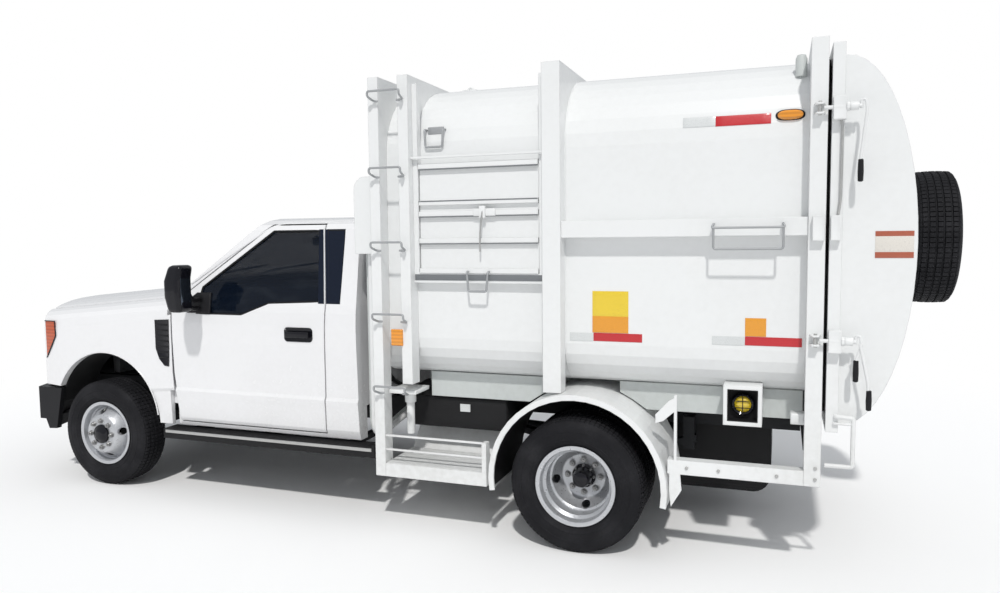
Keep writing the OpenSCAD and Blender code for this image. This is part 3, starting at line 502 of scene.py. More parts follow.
def bar(name, start, end, radius, sides=24, tip=None):
    """A round bar between two points, with its own radius at the far end if given."""
    start, end = Vector(start), Vector(end)
    clear()
    bpy.ops.mesh.primitive_cone_add(vertices=sides, radius1=radius,
                                    radius2=radius if tip is None else tip,
                                    depth=(end - start).length, location=(start + end) / 2,
                                    rotation=(end - start).to_track_quat("Z", "Y").to_euler())
    return settle(name)


def plate(name, outline, push):
    """A flat outline of points in space, extruded by a push."""
    clear()
    bpy.ops.mesh.primitive_circle_add(vertices=len(outline), fill_type="NGON")
    made = settle(name)
    for corner, place in zip(made.data.vertices, outline):
        corner.co = place
    with picked(made, "FACE", everything):
        bpy.ops.mesh.extrude_region_move(TRANSFORM_OT_translate={"value": push})
    return close_up(made)


def spun(name, profile, centre, axis=(0, 1, 0), steps=64):
    """A closed profile of radius and distance along an axis, spun about it through a centre."""
    centre, axis = Vector(centre), Vector(axis)
    away = Vector((0, 0, 1)) if abs(axis.z) < 0.9 else Vector((1, 0, 0))
    clear()
    bpy.ops.mesh.primitive_circle_add(vertices=len(profile), fill_type="NOTHING")
    made = settle(name)
    for corner, (radius, along) in zip(made.data.vertices, profile):
        corner.co = centre + away * radius + axis * along
    with picked(made, "VERT", everything):
        bpy.ops.mesh.spin(steps=steps, angle=math.tau, center=centre, axis=axis)
    return close_up(made)


def rod(name, points, radius, closed=False, fineness=2):
    """A round rod through points."""
    clear()
    bpy.ops.curve.primitive_bezier_curve_add(location=(0, 0, 0))
    made = bpy.context.object
    curve = made.data
    curve.splines.clear()
    line = curve.splines.new("POLY")
    line.points.add(len(points) - 1)
    for knot, place in zip(line.points, points):
        knot.co = (*place, 1)
    line.use_cyclic_u = closed
    curve.dimensions, curve.bevel_depth, curve.bevel_resolution = "3D", radius, fineness
    curve.use_fill_caps = not closed
    bpy.ops.object.convert(target="MESH")
    return close_up(settle(name))


def bent(points, radius, steps=4):
    """The points of a bent rod: each inner corner becomes an arc of that radius."""
    points = [Vector(p) for p in points]
    path = [points[0]]
    for before, corner, after in zip(points, points[1:], points[2:]):
        back, on = before - corner, after - corner
        reach = min(radius, back.length / 2, on.length / 2)
        first, last = corner + back.normalized() * reach, corner + on.normalized() * reach
        path += [first.lerp(corner, t).lerp(corner.lerp(last, t), t)
                 for t in (i / steps for i in range(steps + 1))]
    return path + [points[-1]]


def copy_of(thing, name, move=(0, 0, 0), mirror=False, turn=None, about=None):
    """A copy with its own mesh, moved, mirrored to the other side, or turned about a point."""
    hold(thing)
    bpy.ops.object.duplicate(linked=False)
    made = bpy.context.object
    if mirror:
        made.scale.y = -1
    made.location = Vector(move)
    made = settle(name)
    if turn:
        with picked(made, "VERT", everything):
            bpy.ops.transform.rotate(value=-turn[0], orient_axis=turn[1], center_override=about)
    return close_up(made) if mirror else made


def joined(name, things):
    """Joins pieces into one."""
    hold(*things)
    bpy.ops.object.join()
    made = bpy.context.object
    made.name = made.data.name = name
    return made


def fit(thing, body, finish, soft=0.0, segments=2, smooth=32):
    """Rounds a piece's edges, shades and paints it, and hangs it on a body."""
    if soft:
        round_off(thing, soft, segments)
    hold(thing)
    bpy.ops.object.shade_smooth_by_angle(angle=math.radians(smooth))
    thing.data.materials.clear()
    thing.data.materials.append(FINISHES[finish])
    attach(thing, body)
    return thing


def fit_both(thing, bodies, finish, **how):
    """Fits a left piece and its mirrored twin. bodies is one name, or a left and a right name."""
    left, right = (bodies, bodies) if isinstance(bodies, str) else bodies
    name = thing.name
    twin = copy_of(thing, name + "_right", mirror=True)
    thing.name = thing.data.name = name + "_left"
    return fit(thing, left, finish, **how), fit(twin, right, finish, **how)


def stand_in(thing, bodies, finish, node, **how):
    """Fits a left piece and its twin in place of the CAD nodes of both sides."""
    for made, side in zip(fit_both(thing, bodies, finish, **how), ("_left", "_right")):
        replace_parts(made, node + side)


def recess(thing, way, *steps):
    """Insets the faces that look one way, such as "-x". Each step is a thickness and a depth."""
    sign = -1 if way[0] == "-" else 1
    with picked(thing, "FACE", lambda place, normal: sign * getattr(normal, way[-1]) > FACING):
        for thickness, depth in steps:
            bpy.ops.mesh.inset(thickness=thickness, depth=depth)
    return thing


def round_corners(thing, axis, radius):
    """Rounds the edges that run along an axis."""
    with picked(thing, "EDGE", lambda place, way: abs(getattr(way.normalized(), axis)) > FACING):
        bpy.ops.mesh.bevel(offset=radius, segments=5, affect="EDGES")


def along(table, value):
    """Reads a table of (value, result) pairs, straight between them."""
    for (a, first), (b, last) in zip(table, table[1:]):
        if value <= b:
            return first + (last - first) * (value - a) / (b - a)
    return table[-1][1]


def cab_skin(z):
    """How far the cab's side stands from the middle, at a height."""
    table = ((0.5, 0.034), (0.56, 0.016), (0.7, 0.006), (0.758, 0), (0.782, 0.012), (0.92, 0.009),
             (1.12, 0.002),
             (1.26, 0.002), (1.35, 0.008), (1.4, 0.017), (1.6, 0.078), (1.91, 0.172),
             (1.95, 0.202), (1.982, 0.29))
    return CAB_HALF - along(table, z)


def shell_skin(z):
    """How far the load space's side stands from the middle, at a height."""
    over, under = z - SHELL_TOP + SHELL_TOP_R, SHELL_LOW + SHELL_LOW_R - z
    if over > 0:
        return SHELL_HALF - SHELL_TOP_R + math.sqrt(max(SHELL_TOP_R ** 2 - over ** 2, 0))
    if under > 0:
        return SHELL_HALF - SHELL_LOW_R + math.sqrt(max(SHELL_LOW_R ** 2 - under ** 2, 0))
    return SHELL_HALF


def skin_sheet(name, corners, skin, lift, steps=6):
    """A thin sheet that follows a side. Its corners are pairs of a station and a height: low and
    high at one end, then at the other."""
    clear()
    bpy.ops.mesh.primitive_grid_add(x_subdivisions=steps, y_subdivisions=steps, size=1)
    made = settle(name)
    (x0, z0), (x1, z1), (x2, z2), (x3, z3) = corners
    for corner in made.data.vertices:
        u, v = corner.co.x + 0.5, corner.co.y + 0.5
        x = (x0 * (1 - v) + x1 * v) * (1 - u) + (x2 * (1 - v) + x3 * v) * u
        z = (z0 * (1 - v) + z1 * v) * (1 - u) + (z2 * (1 - v) + z3 * v) * u
        corner.co = at(x, skin(z) + lift, z)
    with picked(made, "FACE", everything):
        bpy.ops.mesh.normals_make_consistent(inside=False)
    modify(made, "SOLIDIFY", thickness=0.0015, offset=0)
    return close_up(made)


def glass_point(y, z, lift=0.0):
    """A point on the windshield's outer surface, lifted off it."""
    off = 2.965 + 0.1 * (1 - (y / 0.95) ** 2) + lift
    rise, run = math.cos(WINDSHIELD_SLOPE), math.sin(WINDSHIELD_SLOPE)
    return at(run * off + rise * (rise * off - z) / run, y, z)


def arc(centre_x, centre_z, radius, angles):
    """Stations and heights on an arc, at angles in degrees."""
    turns = [math.radians(a) for a in angles]
    return [(centre_x + radius * math.cos(t), centre_z + radius * math.sin(t)) for t in turns]


# ------------------------------------------------------------------ wheels


def make_tyre(name, centre, axis, tread, pitches):
    """One tyre: a spun casing whose tread faces become raised blocks."""
    centre, axis = Vector(centre), Vector(axis)
    side = [(0.2235, 0.0975), (0.2405, 0.0985), (0.2470, 0.1010), (0.2520, 0.1075),
            (0.2600, 0.1130), (0.2720, 0.1175),
            (0.2740, 0.1195), (0.2800, 0.1195), (0.2820, 0.1180), (0.3000, 0.1205),
            (0.3210, 0.1208),
            (0.3230, 0.1224), (0.3270, 0.1224), (0.3290, 0.1205), (0.3480, 0.1180),
            (0.3660, 0.1115), (0.3795, 0.1010)]
    top = [(TYRE_R - tread - 0.0055, 0.090), (TYRE_R - tread - 0.003, 0.062),
           (TYRE_R - tread - 0.003, 0.055),
           (TYRE_R - tread - 0.001, 0.022), (TYRE_R - tread - 0.001, 0.015)]
    half = side + top
    tyre = spun(name, half + [(r, -a) for r, a in reversed(half)], centre, axis, pitches)

    def along_axle(place):
        return abs((place - centre).dot(axis))

    def from_axle(place):
        return (place - centre - axis * (place - centre).dot(axis)).length

    def is_block(place, normal):
        across = along_axle(place)
        rib = across < 0.008 or 0.03 < across < 0.046 or 0.068 < across < 0.084
        return rib and from_axle(place) > 0.36

    def is_lug(place, normal):
        return 0.092 < along_axle(place) < 0.099 and from_axle(place) > 0.375

    with picked(tyre, "FACE", is_block):
        bpy.ops.mesh.inset(thickness=0.0028, depth=tread, use_individual=True)
    with picked(tyre, "FACE", is_lug):
        bpy.ops.mesh.inset(thickness=0.003, depth=0.004, use_individual=True)
    return tyre


def ring_points(centre, axis, radius, turn):
    """A point at a radius from an axle, at an angle from the top."""
    up, side = Vector((0, 0, 1)), Vector(axis).cross(Vector((0, 0, 1)))
    return Vector(centre) + up * radius * math.cos(turn) + side * radius * math.sin(turn)


def make_rim(name, centre, axis, toward):
    """One rim: a rolled barrel, and a holed disc dished outwards (1) or inwards (-1)."""
    axis = Vector(axis)
    half = [(0.2225, 0.0640), (0.2225, 0.0972), (0.2325, 0.0990), (0.2385, 0.1030),
            (0.2382, 0.1068), (0.2310, 0.1068),
            (0.2150, 0.1035), (0.2100, 0.0900), (0.2075, 0.0600), (0.1905, 0.0430)]
    barrel = spun(name, [(0.1965, 0.0440)] + half + [(r, -a) for r, a in reversed(half)]
                  + [(0.1965, -0.0440)],
                  centre, axis, 72)
    dish = [(0.0720, 0.136), (0.1320, 0.136), (0.1410, 0.131), (0.1500, 0.121), (0.1600, 0.106),
            (0.1720, 0.086),
            (0.1840, 0.064), (0.1920, 0.052), (0.1920, 0.034), (0.1780, 0.044), (0.1680, 0.066),
            (0.1580, 0.084),
            (0.1460, 0.104), (0.1360, 0.118), (0.1280, 0.122), (0.0720, 0.122)]
    disc = spun(name + "_disc", [(r, a * toward) for r, a in dish], centre, axis, 72)
    cutters = []
    for i in range(4):
        turn = math.radians(8 + 90 * i)
        core = ring_points(centre, axis, 0.1635, turn)
        out = (core - Vector(centre)).normalized()
        beside = out.cross(axis)
        oval = [core + out * 0.0185 * math.cos(t) + beside * 0.028 * math.sin(t)
                + axis * 0.03 * toward
                for t in (math.tau * k / 20 for k in range(20))]
        cutters.append(plate("cutter", oval, axis * 0.14 * toward))
    cutter = joined("cutter", cutters)
    modify(disc, "BOOLEAN", object=cutter, operation="DIFFERENCE", solver="EXACT")
    bpy.data.objects.remove(cutter)
    round_off(disc, 0.0015, 2, 45)
    return joined(name, [barrel, disc])


def make_nuts(name, centre, axis, face, size, count=8, radius=0.100, turn=0.0):
    """Wheel nuts in a ring: each a chamfered hexagon on a washer, with its stud."""
    axis = Vector(axis)
    spot = ring_points(centre, axis, radius, turn) + axis * face
    nut = round_off(bar("nut", spot, spot + axis * 0.021, size, 6), 0.002, 1)
    washer = round_off(bar("washer", spot - axis * 0.001, spot + axis * 0.005, size * 1.2, 16),
                       0.001, 1)
    stud = round_off(bar("stud", spot + axis * 0.015, spot + axis * 0.029, size * 0.42, 10), 0.001,
                     1)
    first = joined(name, [nut, washer, stud])
    rest = [copy_of(first, name, turn=(math.tau * i / count, "Y" if abs(axis.y) > 0.5 else "X"),
                    about=centre)
            for i in range(1, count)]
    return joined(name, [first] + rest)


def spare_centre():
    """The middle of the spare wheel's tyre."""
    spare = middle("spare_wheel")
    return Vector((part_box("spare_wheel")[0].x + TYRE_W / 2, spare.y, spare.z))


class TRUCK_OT_tyres(bpy.types.Operator):
    """Treaded tyres on every wheel"""
    bl_idname = "truck.tyres"
    bl_label = "Tyres"

    def execute(self, context):
        sizes = context.scene.truck_sizes
        front, rear = middle("front_tyre_left"), middle("rear_tyres_left")
        first = make_tyre("front_tyre", front, (0, 1, 0), sizes.tread, sizes.pitches)
        pair = [copy_of(first, "rear_tyre", rear - front + Vector((0, side * TWIN_GAP, 0)))
                for side in (-1, 1)]
        rear_pair = joined("rear_tyres", pair)
        stand_in(first, FRONT_WHEELS, "rubber", "front_tyre", smooth=28)
        stand_in(rear_pair, REAR_WHEELS, "rubber", "rear_tyres", smooth=28)
        made = make_tyre("spare_tyre", spare_centre(), (1, 0, 0), sizes.tread, sizes.pitches)
        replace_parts(fit(made, "rear_tailgate", "rubber", smooth=28), "spare_wheel")
        return {"FINISHED"}


class TRUCK_OT_rims(bpy.types.Operator):
    """Steel rims with nuts and hubs"""
    bl_idname = "truck.rims"
    bl_label = "Rims"

    def execute(self, context):
        nut = context.scene.truck_sizes.nut
        front, rear = middle("front_tyre_left"), middle("rear_tyres_left")
        axle = Vector((0, 1, 0))
        rim = make_rim("front_rim", front, axle, 1)
        inner = copy_of(rim, "rear_rim", rear - front - axle * TWIN_GAP)
        outer = make_rim("rear_rim_outer", rear + axle * TWIN_GAP, axle, -1)
        rear_pair = joined("rear_rims", [inner, outer])
        stand_in(rim, FRONT_WHEELS, "wheel_paint", "front_rim", smooth=30)
        stand_in(rear_pair, REAR_WHEELS, "wheel_paint", "rear_rims", smooth=30)
        fit_both(make_nuts("front_nuts", front, axle, 0.136, nut), FRONT_WHEELS, "bolt_steel")
        fit_both(make_nuts("rear_nuts", rear + axle * TWIN_GAP, axle, -0.122, nut), REAR_WHEELS,
                 "bolt_steel")
        cap = [(0.0005, 0.169), (0.030, 0.168), (0.044, 0.163), (0.052, 0.154), (0.060, 0.151),
               (0.068, 0.148),
               (0.0712, 0.140), (0.0712, 0.030), (0.060, 0.026), (0.0345, 0.026), (0.0345, 0.146),
               (0.0005, 0.148)]
        fit_both(spun("front_hub", cap, front, axle, 48), FRONT_WHEELS, "gloss_black")
        hub = [(0.0005, 0.118), (0.034, 0.117), (0.044, 0.112), (0.050, 0.100), (0.056, 0.070),
               (0.060, 0.030),
               (0.0712, 0.024), (0.0712, -0.125), (0.055, -0.130), (0.0405, -0.130),
               (0.0405, 0.100), (0.0005, 0.104)]
        fit_both(spun("rear_hub", hub, rear, axle, 48), REAR_WHEELS, "gloss_black")
        fit_both(make_nuts("rear_hub_bolts", rear, axle, 0.022, 0.0075, 8, 0.064), REAR_WHEELS,
                 "bolt_steel")
        spot = spare_centre()
        fit(make_rim("spare_rim", spot, (1, 0, 0), 1), "rear_tailgate", "wheel_paint", smooth=30)
        fit(make_nuts("spare_nuts", spot, Vector((-1, 0, 0)), -0.120, nut, 3, 0.09),
            "rear_tailgate", "bolt_steel")
        valve = bent([front + Vector((0.0, 0.070, 0.19)), front + Vector((0, 0.092, 0.187)),
                      front + Vector((0, 0.104, 0.170))], 0.01)
        fit_both(rod("valve", valve, 0.0035), FRONT_WHEELS, "bolt_steel")
        return {"FINISHED"}


class TRUCK_OT_brakes(bpy.types.Operator):
    """Brakes, springs' clips, dampers and pipes under the frame"""
    bl_idname = "truck.brakes"
    bl_label = "Running gear"

    def execute(self, context):
        front, rear = middle("front_tyre_left"), middle("rear_tyres_left")
        disc = [(0.075, -0.045), (0.165, -0.045), (0.165, -0.017), (0.10, -0.017), (0.10, 0.03),
                (0.075, 0.03)]
        fit_both(spun("front_brake", disc, front, steps=64), FRONT_WHEELS, "casting", soft=0.002)
        drum = [(0.058, -0.30), (0.15, -0.30), (0.178, -0.285), (0.178, -0.22), (0.165, -0.21),
                (0.075, -0.21), (0.058, -0.24)]
        fit_both(spun("rear_brake", drum, rear, steps=64), REAR_WHEELS, "casting", soft=0.003)
        clips = []
        for x in (-0.075, 0.075):
            path = bent([at(x, 0.478, AXLE_Z - 0.10), at(x, 0.478, AXLE_Z + 0.125),
                         at(x, 0.562, AXLE_Z + 0.125),
                         at(x, 0.562, AXLE_Z - 0.10)], 0.02)
            clips.append(rod("clip", path, 0.009))
        clips.append(round_off(block("clip_plate", at(-0.095, 0.468, AXLE_Z - 0.10),
                                     at(0.095, 0.572, AXLE_Z - 0.082)), 0.004))
        fit_both(joined("spring_clips", clips), "chassis", "bolt_steel")
        for name, x, tilt in (("rear_damper", -0.16, -0.30), ("front_damper", 3.80, 0.04)):
            low, high = at(x, 0.39, AXLE_Z + 0.005), at(x + tilt, 0.40, AXLE_Z + 0.22)
            body = round_off(bar("damper", low.lerp(high, 0.05), low.lerp(high, 0.6), 0.030), 0.004)
            top = round_off(bar("damper_top", low.lerp(high, 0.55), high, 0.036), 0.004)
            eye = round_off(bar("damper_eye", low + Vector((0, -0.03, 0)),
                                low + Vector((0, 0.03, 0)), 0.022), 0.003)
            fit_both(joined(name, [body, top, eye]), "chassis", "chassis_paint")
        exhaust = [at(3.2, -0.33, 0.56), at(2.4, -0.36, 0.50), at(1.6, -0.40, 0.50),
                   at(0.9, -0.40, 0.60), at(0.62, -0.40, 0.60),
                   at(0.46, -0.40, 0.56), at(0.40, -0.56, 0.50)]
        fit(rod("exhaust_pipe", bent(exhaust, 0.08), 0.034), "chassis", "bolt_steel")
        silencer = round_off(bar("silencer", at(2.25, -0.36, 0.51), at(1.65, -0.385, 0.51), 0.095,
                                 32), 0.02, 3)
        fit(silencer, "chassis", "casting")
        for side in (-1, 1):
            line = [at(3.2, side * 0.40, 0.735), at(1.5, side * 0.40, 0.735),
                    at(1.2, side * 0.40, 0.86), at(0.3, side * 0.38, 0.86)]
            name = "brake_pipe_left" if side > 0 else "brake_pipe_right"
            fit(rod(name, bent(line, 0.05), 0.006), "chassis", "bolt_steel")
        return {"FINISHED"}


# ------------------------------------------------------------------ cab


class TRUCK_OT_windows(bpy.types.Operator):
    """Rubber seals, gutters, wipers and the cowl"""
    bl_idname = "truck.windows"
    bl_label = "Window trim"

    def execute(self, context):
        size = context.scene.truck_sizes.seal
        door = [(1.812, 1.425), (2.215, 1.408), (2.440, 1.325), (2.830, 1.325), (2.800, 1.512),
                (2.262, 1.905), (1.884, 1.905)]
        outline = [Vector((x, z, 0)) for x, z in door]
        path = []
        for first, last in zip(outline, outline[1:] + outline[:1]):
            path += [first.lerp(last, i / 8) for i in range(8)]
        seal = rod("door_seal", [at(p.x, cab_skin(p.y) - 0.006, p.y) for p in path], size,
                   closed=True)
        fit_both(seal, DOORS, "seal_rubber")
        quarter = [(1.655, 1.425), (1.733, 1.423), (1.820, 1.905), (1.686, 1.905)]
        path = []
        for first, last in zip(quarter, quarter[1:] + quarter[:1]):
            path += [Vector((*first, 0)).lerp(Vector((*last, 0)), i / 6) for i in range(6)]
        fit_both(rod("quarter_seal", [at(p.x, cab_skin(p.y) - 0.006, p.y) for p in path], size,
                     closed=True), "chassis", "seal_rubber")
        # One dark band: black pillar trim, and over the quarter glass painted shade of the cab's
        # inside
        fit_both(skin_sheet("quarter_glass_shade_and_pillar", [(1.650, 1.414), (1.683, 1.914), (1.757, 1.414),
                                            (1.845, 1.914)], cab_skin, LIFT, 9),
                 "chassis", "pillar_black_and_painted_shade", smooth=60)
        fit_both(skin_sheet("door_pillar_trim", [(1.773, 1.414), (1.858, 1.914), (1.819, 1.414),
                                                 (1.892, 1.914)], cab_skin, LIFT, 9),
                 DOORS, "pillar_black_and_painted_shade", smooth=60)
        gutter = [at(1.63, cab_skin(1.965), 1.965), at(2.20, cab_skin(1.965), 1.965),
                  at(2.30, cab_skin(1.93) + 0.001, 1.932),
                  at(2.62, cab_skin(1.72) + 0.001, 1.725), at(2.90, cab_skin(1.53) + 0.001, 1.535)]
        fit_both(rod("roof_gutter", bent(gutter, 0.08), 0.006), "chassis", "cab_paint")
        low_edge = [glass_point(y * 0.088, 1.533, 0.004) for y in range(-10, 11)]
        high_edge = [glass_point(y * 0.0755, 1.922, 0.004) for y in range(10, -11, -1)]
        fit(rod("windshield_seal", low_edge + high_edge, size, closed=True), "chassis",
            "seal_rubber")
        for name, y0, y1 in (("wiper_left", 0.62, 0.05), ("wiper_right", -0.10, -0.66)):
            arm = [glass_point(y0, 1.545, 0.012), glass_point(y0 - 0.02, 1.57, 0.022),
                   glass_point((y0 + y1) / 2, 1.60, 0.020),
                   glass_point(y1, 1.625, 0.012)]
            blade = [glass_point(y0 - 0.62 + i * 0.072, 1.592 + 0.045 * (8 - i) / 8, 0.006)
                     for i in range(9)]
            fit(joined(name, [rod("arm", bent(arm, 0.02), 0.006), rod("blade", blade, 0.005)]),
                "chassis", "gloss_black")
        cowl = plate("cowl", [at(3.07 - 0.12 * (i / 10) ** 2, i * 0.083,
                                 1.497 - 0.03 * (i / 10) ** 2) for i in range(-10, 11)]
                     + [at(3.128 - 0.02 * (i / 10) ** 2, i * 0.080, 1.501 - 0.05 * (i / 10) ** 2)
                        for i in range(10, -11, -1)],
                     (0, 0, 0.006))
        fit(cowl, "chassis", "plastic", soft=0.002)
        return {"FINISHED"}


class TRUCK_OT_door_fittings(bpy.types.Operator):
    """Door handles, mirrors and the trim inside the doors"""
    bl_idname = "truck.door_fittings"
    bl_label = "Door fittings"

    def execute(self, context):
        skin = cab_skin(1.2)

        def bezel(name, low, high, depth, finish, soft, inset=0.0, sink=0.0, y=skin):
            """A rounded plate on the door's side, sunk in its middle if an inset is given."""
            made = block(name, at(low[0], y - 0.004, low[1]), at(high[0], y + depth, high[1]))
            round_corners(made, "y", soft)
            if inset:
                recess(made, "y", (inset, -sink))
            return fit_both(made, DOORS, finish, soft=0.001)

        bezel("handle_recess", (1.858, 1.152), (2.082, 1.250), 0.005, "gloss_black", 0.026, 0.008,
              0.003)
        handle = block("door_handle", at(1.878, skin + 0.014, 1.182),
                       at(2.062, skin + 0.030, 1.222))
        feet = [block("foot", at(x, skin + 0.001, 1.190), at(x + 0.022, skin + 0.018, 1.214))
                for x in (1.884, 2.034)]
        handle = joined("door_handle", [round_off(handle, 0.007, 4)] + feet)
        fit_both(handle, DOORS, "gloss_black")
        lock = round_off(bar("door_lock", at(2.070, skin + 0.001, 1.236),
                             at(2.070, skin + 0.007, 1.236), 0.006, 20), 0.001)
        fit_both(lock, DOORS, "bolt_steel")
        # Mirror: a tall rounded housing, leaning in at its top, on two arms from a triangular base
        low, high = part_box("mirror_left")
        head_low = Vector((low.x, CAB_HALF + 0.135, 1.355))
        shell = block("mirror", head_low, (low.x + 0.113, high.y, high.z))
        with picked(shell, "FACE", everything):
            bpy.ops.mesh.subdivide(number_cuts=2)
        with picked(shell, "FACE", lambda place,
                    normal: normal.x > 0.9 and abs(place.z - 1.52) < 0.09):
            bpy.ops.transform.translate(value=(0.022, 0, 0))
        with picked(shell, "VERT", lambda place, normal: place.z > 1.66):
            bpy.ops.transform.translate(value=(-0.012, -0.014, 0))
        with picked(shell, "VERT", lambda place, normal: place.z < 1.37):
            bpy.ops.transform.translate(value=(-0.006, -0.004, 0))
        modify(shell, "BEVEL", width=0.032, segments=5, limit_method="ANGLE",
               angle_limit=math.radians(50))
        stand_in(shell, DOORS, "gloss_black", "mirror", smooth=50)
        face = block("mirror_glass", (low.x - 0.002, head_low.y + 0.018, 1.385),
                     (low.x + 0.004, high.y - 0.026, 1.640))
        round_corners(face, "x", 0.03)
        fit_both(face, DOORS, "mirror_face", soft=0.001)
        arms = [rod("arm", bent([at(2.80, CAB_HALF - 0.01, z0), at(2.80, CAB_HALF + 0.06, z0),
                                 at(2.80, CAB_HALF + 0.16, z1)], 0.03), 0.017)
                for z0, z1 in ((1.365, 1.42), (1.425, 1.56))]
        base = plate("base", [at(2.70, cab_skin(1.335) - 0.004, 1.330),
                              at(2.905, cab_skin(1.335) - 0.004, 1.330),
                              at(2.925, cab_skin(1.40) - 0.012, 1.405),
                              at(2.84, cab_skin(1.47) - 0.018, 1.475),
                              at(2.72, cab_skin(1.47) - 0.018, 1.475)], (0, 0.020, 0))
        fit_both(joined("mirror_arms", arms + [round_off(base, 0.006, 3)]), DOORS, "plastic",
                 smooth=40)
        # Inside: a moulded card with an armrest and a pocket
        card = block("door_card", at(1.86, 0.935, 0.58), at(2.90, 0.957, 1.30))
        recess(card, "-y", (0.03, -0.004), (0.05, 0.006))
        fit_both(card, DOORS, "trim", soft=0.004)
        rest = round_off(block("armrest", at(2.02, 0.895, 1.04), at(2.62, 0.936, 1.10)), 0.016, 4)
        fit_both(rest, DOORS, "trim")
        return {"FINISHED"}


class TRUCK_OT_cab_inside(bpy.types.Operator):
    """Bench, dashboard fittings, mats, linings and the inside mirror"""
    bl_idname = "truck.cab_inside"
    bl_label = "Cab inside"

    def execute(self, context):
        def cushion(name, low, high, crown, push):
            """A padded block whose wide side is crowned towards push."""
            made = block(name, low, high)
            with picked(made, "FACE", everything):
                bpy.ops.mesh.subdivide(number_cuts=5)
            centre, push = (Vector(low) + Vector(high)) / 2, Vector(push)
            with picked(made, "FACE", lambda place, normal: normal.dot(push) > 0.9
                        and all(abs(c - m) < s * 0.36 for c, m,
                                s in zip(place - push * place.dot(push),
                                centre - push * centre.dot(push), Vector(high) - Vector(low)
                                         + push * 0.5))):
                bpy.ops.transform.translate(value=push * crown)
            with picked(made, "VERT", everything):
                bpy.ops.mesh.vertices_smooth(factor=0.5, repeat=3)
            modify(made, "SUBSURF", levels=2, render_levels=2)
            fit(made, "chassis", "seat_cloth", smooth=60)
            return made or made

        first = None
        for name, y0, y1 in (("driver", 0.30, 0.79), ("middle", -0.26, 0.28),
                             ("passenger", -0.79, -0.28)):
            made = cushion("seat_" + name, at(1.80, y0, 0.80), at(2.28, y1, 0.99), 0.02, (0, 0, 1))
            first = first or made
            cushion("back_" + name, at(1.66, y0, 0.93), at(1.80, y1, 1.50), 0.018, (1, 0, 0))
        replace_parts(first, "bench_seat")
        base = block("seat_base", at(1.70, -0.79, 0.752), at(2.24, 0.79, 0.82))
        recess(base, "x", (0.012, -0.006))
        fit(base, "chassis", "trim", soft=0.01)
        for name, y in (("driver", 0.545), ("passenger", -0.545)):
            head = round_off(block("head_rest_" + name, at(1.66, y - 0.12, 1.545),
                                   at(1.745, y + 0.12, 1.70)), 0.03, 4)
            fit(head, "chassis", "seat_cloth", smooth=50)
            posts = [rod("post", [at(1.70, y + s * 0.06, 1.44), at(1.70, y + s * 0.06, 1.56)],
                         0.006) for s in (-1, 1)]
            fit(joined("head_posts_" + name, posts), "chassis", "chrome")
        back = block("rear_lining", at(1.586, -0.86, 0.76), at(1.602, 0.86, 1.415))
        recess(back, "x", (0.05, -0.004))
        fit(back, "chassis", "trim", soft=0.004)
        mat = block("floor_mat", at(1.60, -0.90, 0.7505), at(3.02, 0.90, 0.762))
        recess(mat, "z", (0.04, -0.003))
        fit(mat, "chassis", "trim", soft=0.003)
        roof = block("roof_lining", at(1.70, -0.62, 1.930), at(2.20, 0.62, 1.942))
        recess(roof, "-z", (0.05, -0.003))
        fit(roof, "chassis", "trim", soft=0.004)
        glass = round_off(block("inside_mirror", at(2.395, -0.135, 1.795),
                                at(2.425, 0.135, 1.860)), 0.012, 4)
        stalk = rod("stalk", bent([at(2.42, 0, 1.83), at(2.45, 0, 1.86), at(2.475, 0, 1.875)],
                                  0.01), 0.008)
        fit(joined("inside_mirror", [glass, stalk]), "chassis", "gloss_black")
        binnacle = round_off(block("binnacle", at(2.765, 0.20, 1.29), at(2.90, 0.60, 1.40)), 0.03,
                             4)
        fit(binnacle, "chassis", "trim", smooth=50)
        for i, y in enumerate((-0.60, -0.12, 0.12, 0.70)):
            vent = block("air_vent_%d" % (i + 1), at(2.750, y - 0.06, 1.20),
                         at(2.764, y + 0.06, 1.27))
            recess(vent, "-x", (0.008, -0.006))
            fit(vent, "chassis", "gloss_black", soft=0.002)
        lever = rod("shift_lever", bent([at(2.73, 0.33, 1.22), at(2.68, 0.22, 1.27),
                                         at(2.66, 0.17, 1.30)], 0.03), 0.008)
        fit(lever, "chassis", "gloss_black")
        for i, y in enumerate((0.42, 0.56)):
            pedal = round_off(block("pedal_%d" % (i + 1), at(2.90, y - 0.035, 0.86),
                                    at(2.925, y + 0.035, 0.95)), 0.006, 2)
            stem = rod("stem", [at(2.92, y, 0.93), at(2.96, y, 1.10)], 0.008)
            fit(joined("pedal_%d" % (i + 1), [pedal, stem]), "chassis", "seal_rubber")
        return {"FINISHED"}


